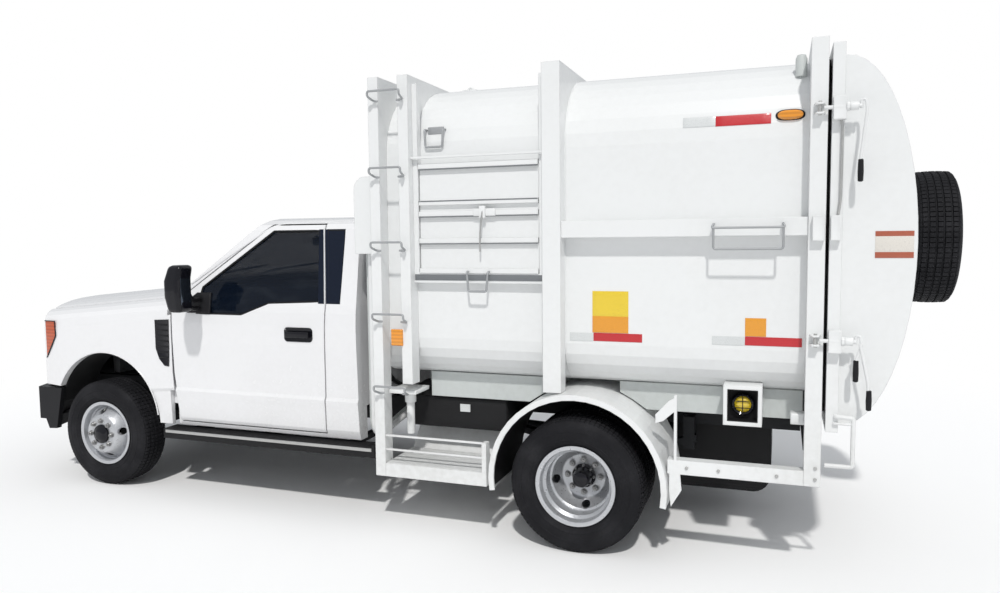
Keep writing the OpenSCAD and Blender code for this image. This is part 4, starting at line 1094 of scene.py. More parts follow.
class TRUCK_OT_front_end(bpy.types.Operator):
    """Grille bars, lamps, vents, bumper fittings and the engine's covers"""
    bl_idname = "truck.front_end"
    bl_label = "Front end"

    def execute(self, context):
        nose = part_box("front_bumper")[1].x - REAR_X - 0.1

        def nose_at(y, out=0.0):
            """The nose's station at a distance from the middle."""
            return nose - 0.24 * y * y + out

        for i, z in enumerate((0.980, 1.070, 1.160)):
            bars = []
            for k in range(3):
                level = z + 0.010 + k * 0.018
                bars.append(rod("bar", [at(nose_at(y / 20, -0.045), y / 20, level)
                                        for y in range(-10, 11)], 0.0045))
            for y in range(-8, 9, 2):
                bars.append(rod("post", [at(nose_at(y * 0.06, -0.05), y * 0.06, z + 0.002),
                                         at(nose_at(y * 0.06, -0.05), y * 0.06, z + 0.058)], 0.004))
            fit(joined("grille_bars_%d" % (i + 1), bars), "chassis", "gloss_black")
            strip = [at(nose_at(y / 20, 0.003), y / 20, z - 0.014) for y in range(-10, 11)]
            fit(rod("grille_strip_%d" % (i + 1), strip, 0.008), "chassis", "chrome")
        for name, radius, y, z in (("low_beam", 0.052, 0.74, 1.15),
                                   ("high_beam", 0.046, 0.74, 1.03)):
            spot = at(nose_at(y, 0.001), y, z)
            bowl = spun(name, [(radius, -0.01), (radius, 0.006), (radius - 0.006, 0.010),
                               (radius - 0.012, 0.004),
                               (radius * 0.5, -0.002), (0.0005, 0.008), (0.0005, -0.01)], spot,
                        (1, 0, 0), 40)
            fit_both(bowl, "chassis", "chrome")
        wrap = [(4.352, 0.925), (4.318, 0.985), (4.292, 1.014), (4.240, 1.0178), (4.188, 1.0182),
                (4.188, 1.010), (4.240, 1.008),
                (4.284, 1.002), (4.330, 0.93)]
        lamp = plate("marker_lamp", [at(x, y, 0.950) for x, y in wrap], (0, 0, 0.282))
        for limit, lift in ((4.26, 0.080), (4.20, 0.090)):
            with picked(lamp, "VERT", lambda place,
                        normal: place.z < 1.1 and place.x - REAR_X < limit):
                bpy.ops.transform.translate(value=(0, 0, lift))
        fit_both(lamp, "chassis", "marker_lens", soft=0.003, segments=3)
        rim = [at(4.352, 0.930, 1.234), at(4.320, 0.986, 1.234), at(4.290, 1.0165, 1.234),
               at(4.190, 1.0185, 1.234),
               at(4.186, 1.0190, 1.120), at(4.238, 1.0190, 1.028), at(4.288, 1.0165, 0.948),
               at(4.320, 0.986, 0.946), at(4.352, 0.930, 0.946)]
        fit_both(rod("marker_trim", rim, 0.0045), "chassis", "gloss_black")
        # Vent on the fender's rear edge
        skin = CAB_HALF - 0.004
        shape = [(3.076, 1.276), (3.204, 1.270), (3.204, 1.060), (3.176, 0.985), (3.130, 0.935),
                 (3.088, 0.930), (3.080, 1.060)]
        vent = plate("fender_vent", [at(x, skin, z) for x, z in shape], (0, 0.007, 0))
        recess(vent, "y", (0.010, -0.004))
        fit_both(vent, "chassis", "gloss_black", soft=0.0015)
        fins = []
        for k in range(7):
            z = 1.235 - k * 0.040
            fins.append(round_off(block("fin", at(3.092, skin + 0.002, z - 0.006),
                                        at(3.19 - max(0, k - 4) * 0.012, skin + 0.006, z + 0.006)),
                                  0.002))
        fit_both(joined("vent_fins", fins), "chassis", "plastic")
        # Rolled lip round the wheel arch, and the black liner inside it
        lip = [at(x, skin + 0.002, z) for x, z in arc(ARCH_X, ARCH_Z, ARCH_R, range(28, 178, 5))]
        fit_both(rod("arch_lip", lip, 0.005), "chassis", "cab_paint")
        liner = (arc(ARCH_X, ARCH_Z, ARCH_R + 0.011, range(10, 171, 8))
                 + arc(ARCH_X, ARCH_Z, ARCH_R + 0.003, range(170, 9, -8)))
        arch = plate("arch_liner", [at(x, 0.66, z) for x, z in liner], (0, 0.29, 0))
        fit_both(arch, "chassis", "tank_plastic", soft=0.001)
        # Bumper: fog lamps, tow loops and a blank plate
        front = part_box("front_bumper")[1].x - REAR_X
        lens = spun("fog_lamp", [(0.0005, 0.006), (0.034, 0.004), (0.044, -0.002), (0.044, -0.02),
                                 (0.0005, -0.02)],
                    at(front - 0.24 * 0.49 - 0.002, 0.70, 0.575), (1, 0, 0), 36)
        fit_both(lens, "chassis", "clear_lens")
        loop = bent([at(front - 0.10, 0.33, 0.43), at(front - 0.03, 0.33, 0.43),
                     at(front - 0.03, 0.42, 0.43), at(front - 0.10, 0.42, 0.43)], 0.03)
        fit_both(rod("tow_loop", loop, 0.011), "chassis", "bolt_steel")
        tag = block("front_plate", at(front - 0.083, -0.155, 0.50), at(front - 0.078, 0.155, 0.58))
        recess(tag, "x", (0.006, -0.001))
        fit(tag, "chassis", "blank_plate", soft=0.001)
        # Under the bonnet
        cover = block("engine_cover", at(3.36, -0.20, 1.125), at(3.95, 0.20, 1.20))
        recess(cover, "z", (0.03, 0.018), (0.02, -0.008))
        fit(cover, "chassis", "plastic", soft=0.008)
        cooler = block("radiator", at(4.18, -0.42, 0.73), at(4.25, 0.42, 1.22))
        with picked(cooler, "FACE", lambda place, normal: abs(normal.x) > 0.9):
            bpy.ops.mesh.inset(thickness=0.035, depth=-0.012)
        fit(cooler, "chassis", "casting", soft=0.004)
        box = round_off(block("air_box", at(3.95, -0.56, 1.00), at(4.14, -0.26, 1.22)), 0.02, 3)
        hose = rod("intake", bent([at(4.04, -0.30, 1.17), at(4.04, 0.02, 1.21),
                                   at(3.90, 0.08, 1.20)], 0.08), 0.035)
        fit(joined("air_box", [box, hose]), "chassis", "tank_plastic")
        battery = block("battery", at(3.22, 0.34, 1.00), at(3.46, 0.54, 1.19))
        recess(battery, "z", (0.015, 0.012))
        fit(battery, "chassis", "tank_plastic", soft=0.004)
        return {"FINISHED"}

# ------------------------------------------------------------------ load body


class TRUCK_OT_markings(bpy.types.Operator):
    """Reflective strips and blank plates on the load body"""
    bl_idname = "truck.markings"
    bl_label = "Markings"

    def execute(self, context):
        def strip(name, x0, x1, z0, z1, finish):
            """A thin sheet on the load space's side."""
            made = skin_sheet(name, [(x0, z0), (x0, z1), (x1, z0), (x1, z1)], shell_skin, LIFT)
            return fit_both(made, "chassis", finish, soft=0.0004, smooth=60)

        strip("top_silver_strip", -0.584, -0.757, 2.436, 2.491, "silver_marking")
        strip("top_red_strip", -0.757, -1.042, 2.434, 2.490, "red_marking")
        strip("middle_silver_strip", 0.060, -0.082, 1.236, 1.284, "silver_marking")
        strip("middle_red_strip", -0.082, -0.365, 1.238, 1.286, "red_marking")
        strip("rear_silver_strip", -0.751, -0.925, 1.242, 1.290, "silver_marking")
        strip("rear_red_strip", -0.925, -1.216, 1.244, 1.292, "red_marking")
        strip("upper_yellow_plate", -0.076, -0.286, 1.384, 1.530, "yellow_marking")
        strip("lower_orange_plate", -0.076, -0.286, 1.288, 1.384, "orange_marking")
        strip("small_orange_plate", -0.925, -1.034, 1.294, 1.394, "orange_marking")
        side = BODY_HALF - 0.045
        for name, low, high, finish in (("tailgate_label_middle", 1.752, 1.832, "sticker_white"),
                                        ("tailgate_label_top", 1.832, 1.858, "sticker_brown"),
                                        ("tailgate_label_bottom", 1.722, 1.752, "sticker_brown")):
            made = block(name, at(-1.727, side, low), at(-1.551, side + 0.002, high))
            fit_both(made, "rear_tailgate", finish, soft=0.0006)
        return {"FINISHED"}


class TRUCK_OT_body_lamps(bpy.types.Operator):
    """Side lamps, the lamp box and the rear lamps"""
    bl_idname = "truck.body_lamps"
    bl_label = "Body lamps"

    def execute(self, context):
        def oval_lamp(name, x, z, y, half_x, half_z, depth, lens):
            """An oval lens on a black base, standing on a side face."""
            shape = []
            for k in range(28):
                t = math.tau * k / 28
                shape.append((half_x * math.copysign(abs(math.cos(t)) ** 0.7, math.cos(t)),
                              half_z * math.copysign(abs(math.sin(t)) ** 0.9, math.sin(t))))
            base = plate(name + "_base", [at(x + a, y - 0.012, z + b) for a, b in shape],
                         (0, 0.018, 0))
            fit_both(base, "chassis", "plastic", soft=0.003)
            glass = plate(name, [at(x + a * 0.86, y + 0.004, z + b * 0.80) for a, b in shape],
                          (0, depth, 0))
            recess(glass, "y", (half_z * 0.3, depth * 0.45))
            fit_both(glass, "chassis", lens, soft=0.002, segments=3)

        oval_lamp("top_side_lamp", -1.138, 2.473, shell_skin(2.473), 0.074, 0.031, 0.016,
                  "amber_lens")
        # Lamp on the front hoops' lower part
        body = block("post_lamp", at(1.106, BODY_HALF - 0.028, 1.176),
                     at(1.186, BODY_HALF + 0.010, 1.280))
        recess(body, "y", (0.008, 0.008))
        fit_both(body, "chassis", "amber_lens", soft=0.004, segments=3)
        # White box under the load space with a round lamp in it
        x0, x1, z0, z1, y = -1.020, -0.816, 0.802, 1.024, 1.085
        frame_box = block("lamp_box", at(x0, 0.90, z0), at(x1, y, z1))
        with picked(frame_box, "FACE", lambda place, normal: normal.y > 0.9):
            bpy.ops.mesh.inset(thickness=0.022, depth=0)
            bpy.ops.mesh.extrude_region_move(TRANSFORM_OT_translate={"value": (0, -0.085, 0)})
        fit_both(frame_box, "chassis", "body_paint", soft=0.003)
        liner = block("lamp_box_liner", at(x0 + 0.0225, 0.985, z0 + 0.0225),
                      at(x1 - 0.0225, y - 0.006, z1 - 0.0225))
        with picked(liner, "FACE", lambda place, normal: normal.y > 0.9):
            bpy.ops.mesh.inset(thickness=0.006, depth=0)
            bpy.ops.mesh.extrude_region_move(TRANSFORM_OT_translate={"value": (0, -0.070, 0)})
        fit_both(liner, "chassis", "seal_rubber", soft=0.001)
        centre = at((x0 + x1) / 2, 1.004, (z0 + z1) / 2)
        ring = [(0.062, 0), (0.062, 0.030), (0.055, 0.036), (0.046, 0.030), (0.046, 0)]
        fit_both(spun("round_lamp_ring", ring, centre, steps=40), "chassis", "gloss_black")
        lens = [(0.0005, 0.005), (0.0445, 0.005), (0.0445, 0.026), (0.036, 0.034), (0.022, 0.039),
                (0.0005, 0.041)]
        fit_both(spun("round_lamp_lens", lens, centre, steps=40), "chassis", "yellow_lens")
        cage = [rod("wire", [centre + Vector((a, 0.042, b)) for a, b in pair], 0.0022) for pair in
                (((-0.055, 0.018), (0.055, 0.018)), ((-0.055, -0.018), (0.055, -0.018)),
                 ((0.0, -0.058), (0.0, 0.058)))]
        fit_both(joined("round_lamp_guard", cage), "chassis", "seal_rubber")
        small = block("junction_box", at(-1.235, 0.98, 0.825), at(-1.165, 1.06, 0.885))
        recess(small, "y", (0.008, 0.005))
        fit_both(small, "chassis", "body_paint", soft=0.003)
        # Beam across the frame's rear end, with tail lamps and a blank plate
        beam = block("lamp_beam", at(-1.29, -0.98, 0.665), at(-1.232, 0.98, 0.735))
        recess(beam, "-x", (0.010, -0.004))
        fit(beam, "chassis", "chassis_paint", soft=0.003)
        for name, y, finish in (("stop_lamp", 0.86, "red_lens"), ("turn_lamp", 0.73, "amber_lens"),
                                ("reverse_lamp", 0.60, "clear_lens")):
            lamp = spun(name, [(0.0005, 0.0), (0.045, 0.0), (0.045, 0.012), (0.036, 0.020),
                               (0.0005, 0.024)],
                        at(-1.290, y, 0.70), (-1, 0, 0), 32)
            fit_both(lamp, "chassis", finish)
            ring = spun(name + "_ring", [(0.0455, 0.0), (0.053, 0.0), (0.053, 0.010),
                                         (0.0455, 0.013)], at(-1.290, y, 0.70), (-1, 0, 0), 32)
            fit_both(ring, "chassis", "seal_rubber")
        tag = block("rear_plate", at(-1.297, -0.16, 0.655), at(-1.291, 0.16, 0.745))
        recess(tag, "-x", (0.006, -0.001))
        fit(tag, "chassis", "blank_plate", soft=0.001)
        return {"FINISHED"}


class TRUCK_OT_handles(bpy.types.Operator):
    """Rungs, grab handles, latches and lifting eyes"""
    bl_idname = "truck.handles"
    bl_label = "Handles"

    def execute(self, context):
        size = context.scene.truck_sizes.rung
        low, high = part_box("ladder")
        out = high.y - size
        rungs = []
        for z in (0.930, 1.385, 1.830, 2.285, 2.749):
            level = z - size
            path = bent([(low.x + 0.055, BODY_HALF - 0.004, level - 0.052),
                         (low.x + 0.007, BODY_HALF + 0.012, level - 0.052),
                         (low.x + 0.007, out, level - 0.030), (low.x + 0.007, out, level),
                         (high.x - 0.007, out, level), (high.x - 0.007, out, level - 0.030),
                         (high.x - 0.022, BODY_HALF + 0.012, level - 0.052),
                         (high.x - 0.045, BODY_HALF - 0.004, level - 0.052)], 0.014)
            rungs.append(rod("rung", path, size))
        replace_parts(fit(joined("rungs", rungs), "chassis", "steel_rung", smooth=50), "ladder")

        def staple(name, x0, x1, z_top, z_low, wall, reach, thick=size, splay=0.0):
            """A grab handle: two legs out of a wall, down, and a bar between them."""
            path = bent([at(x0 + splay, wall - 0.004, z_top), at(x0 + splay, wall + reach, z_top),
                         at(x0, wall + reach, z_low),
                         at(x1, wall + reach, z_low), at(x1 - splay, wall + reach, z_top),
                         at(x1 - splay, wall - 0.004, z_top)], 0.014)
            return rod(name, path, thick)

        fit_both(staple("hatch_handle", 0.556, 0.672, 1.640, 1.522, 1.098, 0.026, splay=-0.010),
                 HATCHES, "steel_rung", smooth=50)
        roof = staple("roof_handle", 0.858, 0.970, 2.512, 2.404, shell_skin(2.50), 0.036,
                      splay=-0.006)
        pad = block("pad", at(0.862, shell_skin(2.50) - 0.010, 2.485),
                    at(0.966, shell_skin(2.50) + 0.006, 2.530))
        fit_both(joined("roof_handle", [roof, round_off(pad, 0.003)]), "chassis", "steel_rung",
                 smooth=50)
        ledge_out = BODY_HALF - 0.015
        upper = [at(-0.762, ledge_out - 0.003, 1.905), at(-0.762, ledge_out + 0.035, 1.905),
                 at(-0.752, ledge_out + 0.040, 1.885),
                at(-1.122, ledge_out + 0.040, 1.885), at(-1.112, ledge_out + 0.035, 1.905),
                 at(-1.112, ledge_out - 0.003, 1.905)]
        upper = rod("upper", bent(upper, 0.012), size * 0.9)
        lower = [at(-0.762, ledge_out + 0.036, 1.885), at(-0.762, ledge_out + 0.036, 1.772),
                 at(-1.114, ledge_out + 0.036, 1.772),
                 at(-1.114, ledge_out + 0.036, 1.885)]
        lower = rod("lower", bent(lower, 0.016), size * 0.9)
        fit_both(joined("ledge_handle", [upper, lower]), "chassis", "steel_rung", smooth=50)
        # Latch on the hatch: a catch plate with its lug, and a drop lever
        catch = block("catch", at(0.500, 1.099, 1.975), at(0.640, 1.110, 2.020))
        recess(catch, "y", (0.010, 0.003))
        lug = round_off(block("lug", at(0.560, 1.105, 1.962), at(0.600, 1.124, 2.036)), 0.004)
        fit_both(joined("hatch_catch", [round_off(catch, 0.002), lug]), HATCHES, "body_paint")
        lever = bent([at(0.576, 1.118, 2.010), at(0.582, 1.126, 1.960), at(0.592, 1.128, 1.860),
                      at(0.594, 1.124, 1.762)], 0.03)
        fit_both(rod("hatch_lever", lever, 0.0055), HATCHES, "zinc", smooth=50)
        # Painted shadow: grey strips under the hatch's ribs, and below the hatch where its shadow
        # falls
        painted_shadows = [block("joint", at(0.2375, 1.0995, z), at(1.0055, 1.1015, z + high)) for z, high in
                 ((2.261, 0.008), (2.068, 0.007), (1.972, 0.007), (1.807, 0.006))]
        fit_both(joined("hatch_shadow_lines", painted_shadows), HATCHES, "painted_shadow_grey")
        # Strip below the hatch: painted shadow of the hatch on its sill, not a seal
        fit_both(block("hatch_shadow_strip", at(0.202, 1.0945, 1.586), at(1.041, 1.0975, 1.622)),
                 "chassis", "painted_shadow_grey", soft=0.001)
        lip = block("hatch_lip", at(0.1985, 1.106, 2.330), at(1.0445, 1.126, 2.345))
        recess(lip, "y", (0.004, -0.0015))
        fit_both(lip, "chassis", "body_paint", soft=0.002)
        # Lifting eye on the roof, and a cap on the rear hoop
        x, y, z = 0.835, 0.64, 2.797
        foot = round_off(block("foot", at(x - 0.05, y - 0.03, z),
                               at(x + 0.05, y + 0.03, z + 0.016)), 0.004)
        eye = rod("eye", [at(x + 0.020 * math.cos(t), y, z + 0.010 + 0.020 * math.sin(t))
                          for t in (math.pi * k / 10 for k in range(11))], 0.006)
        fit_both(joined("roof_eye", [foot, eye]), "chassis", "body_paint")
        knob = spun("hoop_cap", [(0.0005, 0), (0.030, 0), (0.030, 0.094), (0.022, 0.114),
                                 (0.0005, 0.120)], at(-1.19, 0.90, 2.692), (0, 0, 1), 28)
        fit_both(knob, "chassis", "grey_paint_and_painted_shade")
        return {"FINISHED"}


class TRUCK_OT_tailgate_fittings(bpy.types.Operator):
    """Screw clamps with their levers, the seal, the drop rod and the hinges' bolts"""
    bl_idname = "truck.tailgate_fittings"
    bl_label = "Tailgate fittings"

    def execute(self, context):
        gate, back = GATE_X, GATE_X - 0.060
        side = BODY_HALF
        metal, grips = [], []
        for z, long in ((2.478, 0.37), (1.300, 0.20)):
            jaw = block("jaw", at(back - 0.006, side + 0.0003, z - 0.062),
                        at(gate - 0.004, side + 0.050, z + 0.055))
            recess(jaw, "y", (0.010, -0.005))
            metal.append(round_off(jaw, 0.003))
            for offset in (-0.030, 0.018):
                name = "clamp_ear_%d_%d" % (round(z * 10), round(offset * 1000) + 100)
                ear = plate(name, [at(gate + 0.030, side - 0.001, z + offset),
                                   at(gate + 0.086, side - 0.001, z + offset),
                                    at(gate + 0.075, side + 0.052, z + offset),
                                   at(gate + 0.040, side + 0.052, z + offset)], (0, 0, 0.010))
                fit(round_off(ear, 0.002), "chassis", "body_paint")
            pin = round_off(bar("clamp_pin_%d" % round(z * 10),
                                at(gate + 0.058, side + 0.034, z - 0.036),
                                at(gate + 0.058, side + 0.034, z + 0.036), 0.009, 16), 0.002)
            fit(pin, "chassis", "zinc")
            screw = bar("screw", at(back - 0.075, side + 0.035, z),
                        at(gate + 0.040, side + 0.035, z), 0.010, 20)
            metal.append(round_off(screw, 0.002))
            collar = round_off(bar("collar", at(back - 0.060, side + 0.035, z),
                                   at(back - 0.020, side + 0.035, z), 0.021, 20), 0.003)
            metal.append(collar)
            nut = round_off(bar("nut", at(back - 0.020, side + 0.035, z),
                                at(back - 0.004, side + 0.035, z), 0.024, 6), 0.002)
            metal.append(nut)
            lever = bent([at(back - 0.072, side + 0.035, z - 0.012),
                          at(back - 0.072, side + 0.035, z + 0.028),
                          at(back - 0.092, side + 0.040, z + 0.030),
                          at(back - 0.098, side + 0.046, z - 0.02),
                          at(back - 0.072, side + 0.046, z - long + 0.10),
                          at(back - 0.074, side + 0.044, z - long)], 0.022)
            metal.append(rod("lever", lever, 0.0075))
            grips.append(spun("grip", [(0.0076, 0), (0.013, 0.004), (0.0145, 0.05),
                                       (0.0125, 0.108), (0.0076, 0.112)],
                              at(back - 0.074, side + 0.044, z - long - 0.004), (0, 0, 1), 20))
        second = bent([at(back - 0.090, side + 0.052, 1.290), at(back - 0.130, side + 0.056, 1.10),
                       at(back - 0.136, side + 0.056, 1.00)], 0.03)
        metal.append(rod("lever", second, 0.0075))
        grips.append(spun("grip", [(0.0076, 0), (0.013, 0.004), (0.0145, 0.05), (0.0125, 0.100),
                                   (0.0076, 0.104)],
                          at(back - 0.136, side + 0.056, 0.955), (0, 0, 1), 20))
        middle_lug = block("middle", at(back + 0.008, side - 0.002, 1.812),
                           at(gate - 0.004, side + 0.040, 1.940))
        recess(middle_lug, "y", (0.012, -0.006))
        keeper = block("clamp_keeper", at(gate + 0.024, side - 0.002, 1.812),
                       at(gate + 0.082, side + 0.040, 1.940))
        recess(keeper, "y", (0.012, -0.006))
        fit(keeper, "chassis", "body_paint", soft=0.003)
        metal.append(round_off(middle_lug, 0.003))
        rods = [rod("stay", bent([at(back + 0.012, side - 0.002, 0.905),
                                  at(back + 0.012, side + 0.012, 0.905),
                                  at(back - 0.072, side + 0.012, 0.900),
                                  at(back - 0.072, side + 0.012, 0.645),
                                  at(back + 0.062, side + 0.012, 0.645)], 0.014), 0.0115),
                rod("stay", bent([at(back - 0.072, side + 0.012, 0.868),
                                  at(back + 0.020, side + 0.012, 0.868),
                                  at(back + 0.020, side - 0.002, 0.868)], 0.01), 0.007)]
        clamps = fit(joined("tailgate_clamps_fitted", metal + rods), "rear_tailgate", "body_paint",
                     smooth=40)
        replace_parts(clamps, "tailgate_clamps")
        fit(joined("clamp_grips", grips), "rear_tailgate", "plastic")
        post = rod("gate_rod", bent([at(back + 0.022, side + 0.008, 1.945),
                                     at(back + 0.012, side + 0.014, 2.02),
                                     at(back + 0.010, side + 0.014, 2.38),
                                     at(back + 0.018, side + 0.008, 2.43)], 0.02), 0.007)
        fit(post, "rear_tailgate", "zinc", smooth=50)
        # Rubber seal in the gap between the rear hoop and the tailgate
        seal_x = gate + 0.009
        loop = [at(seal_x, y, z) for y, z in ((-1.02, 0.90), (1.02, 0.90), (1.085, 0.965),
                                              (1.085, 2.60), (0.95, 2.765), (-0.95, 2.765),
                                              (-1.085, 2.60), (-1.085, 0.965))]
        path = bent(loop + [loop[0]], 0.05)
        fit(rod("tailgate_seal", path[:-1], 0.0085, closed=True), "chassis", "seal_rubber")
        # Bolts of the three hinges
        bolts = []
        for z in (1.05, 1.80, 2.55):
            for side_z in (-0.066, 0.066):
                spot = at(gate - 0.034, -1.2005, z + side_z)
                bolts.append(round_off(bar("bolt", spot, spot + Vector((0, -0.010, 0)), 0.011, 6),
                                       0.002, 1))
        fit(joined("hinge_bolts", bolts), "rear_tailgate", "bolt_steel")
        return {"FINISHED"}


class TRUCK_OT_underbody(bpy.types.Operator):
    """Boxes, liners, steps, pipes and hoses below and in front of the load body"""
    bl_idname = "truck.underbody"
    bl_label = "Underbody"

    def execute(self, context):
        case = block("battery_box", at(0.53, 0.49, 0.600), at(1.215, 0.850, 0.808))
        recess(case, "y", (0.022, 0.008), (0.05, -0.006))
        fit_both(case, "chassis", "tank_plastic", soft=0.010, segments=3)
        tag = block("box_plate", at(0.780, 0.851, 0.715), at(0.850, 0.860, 0.765))
        recess(tag, "y", (0.005, -0.001))
        fit_both(tag, "chassis", "silver_marking", soft=0.001)
        # Black inside of the rear fenders
        liner = (arc(0, FENDER_Z, 0.513, range(-7, 188, 6))
                 + arc(0, FENDER_Z, 0.509, range(185, -8, -6)))
        sheet = plate("fender_liner", [at(x, 0.612, z) for x, z in liner], (0, 0.572, 0))
        fit_both(sheet, "chassis", "tank_plastic", soft=0.001)
        # Steps: raised lozenges on the tread
        pads = []
        tread = block("step_tread", at(0.565, 0.765, 0.4172), at(1.2450, 1.145, 0.4205))
        recess(tread, "z", (0.012, 0.001))
        first = None
        for i in range(14):
            for j in range(7):
                x, y = 0.60 + i * 0.047, 0.80 + j * 0.050 + (0.025 if i % 2 else 0)
                if y > 1.12:
                    continue
                if first is None:
                    first = plate("lozenge", [at(x - 0.014, y, 0.421), at(x, y - 0.005, 0.421),
                                              at(x + 0.014, y, 0.421), at(x, y + 0.005, 0.421)],
                                  (0, 0, 0.002))
                    pads.append(first)
                else:
                    pads.append(copy_of(first, "lozenge", (x - 0.60, y - 0.80, 0)))
        fit_both(joined("step_tread", [tread] + pads), "chassis", "body_paint")
        # Pipes and hoses between the cab and the load body
        for name, x, y, radius, z0, z1, finish in (("riser_pipe", 1.405, 1.000, 0.021, 0.56,
                                                    1.7495, "body_paint"),
                                                   ("riser_pipe_thin", 1.455, 0.950, 0.012, 0.56,
                                                    1.7495, "grey_paint_and_painted_shade")):
            pipe = rod(name, bent([at(x, y, z1), at(x, y, z0), at(x, y - 0.14, z0 - 0.02),
                                   at(x - 0.05, 0.52, z0 + 0.08)], 0.08), radius)
            fit_both(pipe, "chassis", finish, smooth=50)
        for i, (x, y) in enumerate(((1.37, 0.86), (1.41, 0.80), (1.44, 0.74))):
            hose = [at(x, y, 1.752), at(x, y, 1.55), at(x + 0.02, y + 0.08, 1.20),
                    at(x, y + 0.02, 0.90), at(x - 0.05, 0.44, 0.74)]
            fit_both(rod("oil_hose_%d" % (i + 1), bent(hose, 0.16, 6), 0.013), "chassis",
                     "seal_rubber", smooth=50)
        breather = rod("tank_breather", bent([at(1.455, 1.02, 2.236), at(1.480, 1.04, 2.20),
                                              at(1.483, 1.04, 2.03), at(1.475, 1.03, 1.98)], 0.02),
                       0.007)
        fit(breather, "chassis", "grey_paint_and_painted_shade", smooth=50)
        cap = spun("tank_cap", [(0.0005, 0), (0.036, 0), (0.036, 0.020), (0.030, 0.026),
                                (0.0005, 0.028)], at(1.385, 0.70, 2.238), (0, 0, 1), 32)
        fit(cap, "chassis", "gloss_black")
        drop = bar("ram", at(1.135, 1.005, 0.585), at(1.135, 1.005, 0.80), 0.026, 28)
        head = bar("ram_head", at(1.135, 1.005, 0.79), at(1.135, 1.005, 0.86), 0.036, 28)
        foot = block("ram_foot", at(1.050, 0.90, 0.86), at(1.240, 1.10, 0.885))
        fit_both(joined("drain_valve", [round_off(drop, 0.004, 3), round_off(head, 0.006, 3),
                                        round_off(foot, 0.003)]), "chassis", "body_paint")
        # Running boards: a bright edge strip and ribs
        low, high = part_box("running_boards")
        edge = block("board_strip", (low.x + 0.02, high.y - 0.001, 0.452),
                     (high.x - 0.02, high.y + 0.006, 0.474))
        recess(edge, "y", (0.004, 0.001))
        fit_both(edge, "chassis", "zinc", soft=0.002)
        ribs = []
        for k in range(5):
            y = 0.945 + k * 0.022
            ribs.append(round_off(block("rib", (low.x + 0.05, y, 0.479),
                                        (high.x - 0.05, y + 0.008, 0.483)), 0.0015, 1))
        fit_both(joined("board_ribs", ribs), "chassis", "seal_rubber")
        # Bolts on the low rails, and the welds of the middle hoop
        bolts = []
        for x, z in ((-1.29, 0.56), (-1.29, 0.62), (-1.10, 0.56), (-0.80, 0.56), (-0.63, 0.56)):
            spot = at(x, BODY_HALF - 0.001, z)
            bolts.append(round_off(bar("bolt", spot, spot + Vector((0, 0.009, 0)), 0.010, 6),
                                   0.002, 1))
        fit_both(joined("rail_bolts", bolts), "chassis", "zinc")
        weld = []
        for x in (0.0865, 0.1995):
            path = [at(x, shell_skin(z) + 0.001, z)
                    for z in (0.99, 1.04, 1.1, 1.16, 1.22, 1.6, 2.0, 2.36, 2.45, 2.55, 2.64, 2.72,
                              2.78)]
            weld.append(rod("weld", path, 0.004, fineness=1))
        fit_both(joined("hoop_welds", weld), "chassis", "body_paint", smooth=60)
        return {"FINISHED"}


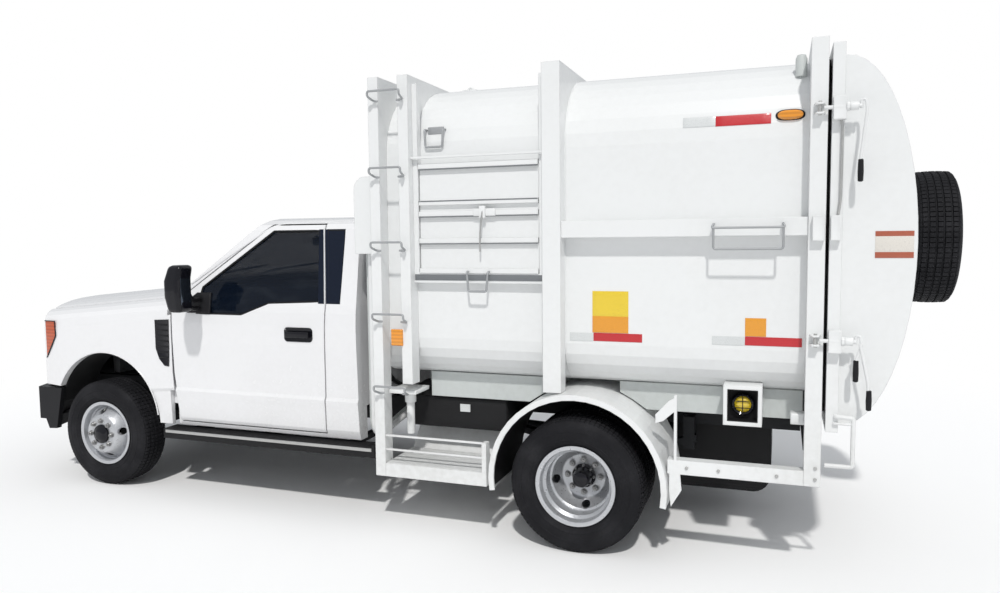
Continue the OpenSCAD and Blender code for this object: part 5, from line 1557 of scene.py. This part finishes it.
class TRUCK_OT_stage(bpy.types.Operator):
    """Floor, sky, lamps and camera"""
    bl_idname = "truck.stage"
    bl_label = "Stage"

    def execute(self, context):
        clear()
        bpy.ops.mesh.primitive_grid_add(x_subdivisions=8, y_subdivisions=8, size=60)
        floor = settle("floor")
        made = Finish("floor", Roughness=0.9, Specular_IOR_Level=0.0)
        reach = made.node("VectorMath", {"operation": "LENGTH"}, {"Vector": made.coordinates})
        far = made.part(Amount(made, reach.outputs["Value"]), 4.2, 7.5)
        ray = made.node("LightPath", {}, {})
        seen = Amount(made, ray.outputs["Is Camera Ray"])
        made.paint(Base_Color=made.blend(made.noise(2) * 0.1, (0.95, 0.95, 0.95),
                                         (0.93, 0.93, 0.93)))
        glow = made.node("Emission", {}, {"Color": (1, 1, 1), "Strength": 1.0})
        mix = made.node("MixShader", {}, {0: far * seen, 1: made.shader.outputs[0],
                                          2: glow.outputs[0]})
        made.tree.links.new(mix.outputs[0], made.tree.nodes["Material Output"].inputs["Surface"])
        floor.data.materials.append(made.material)
        world = bpy.data.worlds.new("sky")
        context.scene.world = world
        world.use_nodes = True
        tree = world.node_tree
        tree.nodes.clear()
        out = tree.nodes.new("ShaderNodeOutputWorld")
        seen, fill, mix, ray = (tree.nodes.new("ShaderNode" + kind)
                                for kind in ("Background", "Background", "MixShader", "LightPath"))
        seen.inputs[0].default_value, seen.inputs[1].default_value = (1, 1, 1, 1), 1.0
        fill.inputs[0].default_value, fill.inputs[1].default_value = (0.93, 0.96, 1, 1), 0.58
        tree.links.new(ray.outputs["Is Camera Ray"], mix.inputs[0])
        tree.links.new(fill.outputs[0], mix.inputs[1])
        tree.links.new(seen.outputs[0], mix.inputs[2])
        tree.links.new(mix.outputs[0], out.inputs[0])
        clear()
        bpy.ops.object.light_add(type="SUN", location=(0, 0, 6))
        sun = context.object
        sun.name = "sun"
        sun.data.energy, sun.data.angle, sun.data.color = 2.0, math.radians(2.5), (1, 0.985, 0.96)
        sun.rotation_euler = Vector((0.20, -0.60, -0.78)).to_track_quat("-Z", "Y").to_euler()
        clear()
        bpy.ops.object.camera_add(location=at(-1.10417, 5.44884, 1.84855))
        camera = context.object
        ahead = Vector((0.34087, -0.93698, -0.07672)).normalized()
        right = ahead.cross(Vector((0, 0, 1))).normalized()
        up = right.cross(ahead)
        roll = -0.0106
        lean, rest = math.sin(roll), math.cos(roll)
        right, up = right * rest + up * lean, up * rest - right * lean
        camera.rotation_mode = "QUATERNION"
        camera.rotation_quaternion = Matrix((right, up, -ahead)).transposed().to_quaternion()
        camera.data.sensor_width, camera.data.lens = 36.0, 27.846
        camera.data.clip_end = 200
        context.scene.camera = camera
        context.scene.view_settings.view_transform = "Standard"
        return {"FINISHED"}


STEPS = (TRUCK_OT_finishes, TRUCK_OT_tyres, TRUCK_OT_rims, TRUCK_OT_brakes, TRUCK_OT_windows,
         TRUCK_OT_door_fittings,
         TRUCK_OT_cab_inside, TRUCK_OT_front_end, TRUCK_OT_markings, TRUCK_OT_body_lamps,
         TRUCK_OT_handles,
         TRUCK_OT_tailgate_fittings, TRUCK_OT_underbody, TRUCK_OT_stage)


class TRUCK_PT_panel(bpy.types.Panel):
    """Lists the steps and their settings"""
    bl_idname = "TRUCK_PT_panel"
    bl_label = "Garbage Truck"
    bl_space_type = "VIEW_3D"
    bl_region_type = "UI"
    bl_category = "Garbage Truck"

    def draw(self, context):
        for group in (context.scene.truck_sizes, context.scene.truck_colours):
            box = self.layout.box()
            for label in group.bl_rna.properties.keys():
                if label not in ("rna_type", "name"):
                    box.prop(group, label)
        for step in STEPS:
            self.layout.operator(step.bl_idname)


CLASSES = (TruckSizes, TruckColours, *STEPS, TRUCK_PT_panel)


def register():
    for cls in CLASSES:
        bpy.utils.register_class(cls)
    bpy.types.Scene.truck_sizes = bpy.props.PointerProperty(type=TruckSizes)
    bpy.types.Scene.truck_colours = bpy.props.PointerProperty(type=TruckColours)


def unregister():
    del bpy.types.Scene.truck_sizes
    del bpy.types.Scene.truck_colours
    for cls in reversed(CLASSES):
        bpy.utils.unregister_class(cls)


def main():
    """Runs every step."""
    register()
    for step in STEPS:
        family, name = step.bl_idname.split(".")
        getattr(getattr(bpy.ops, family), name)()


if __name__ == "__main__":
    main()
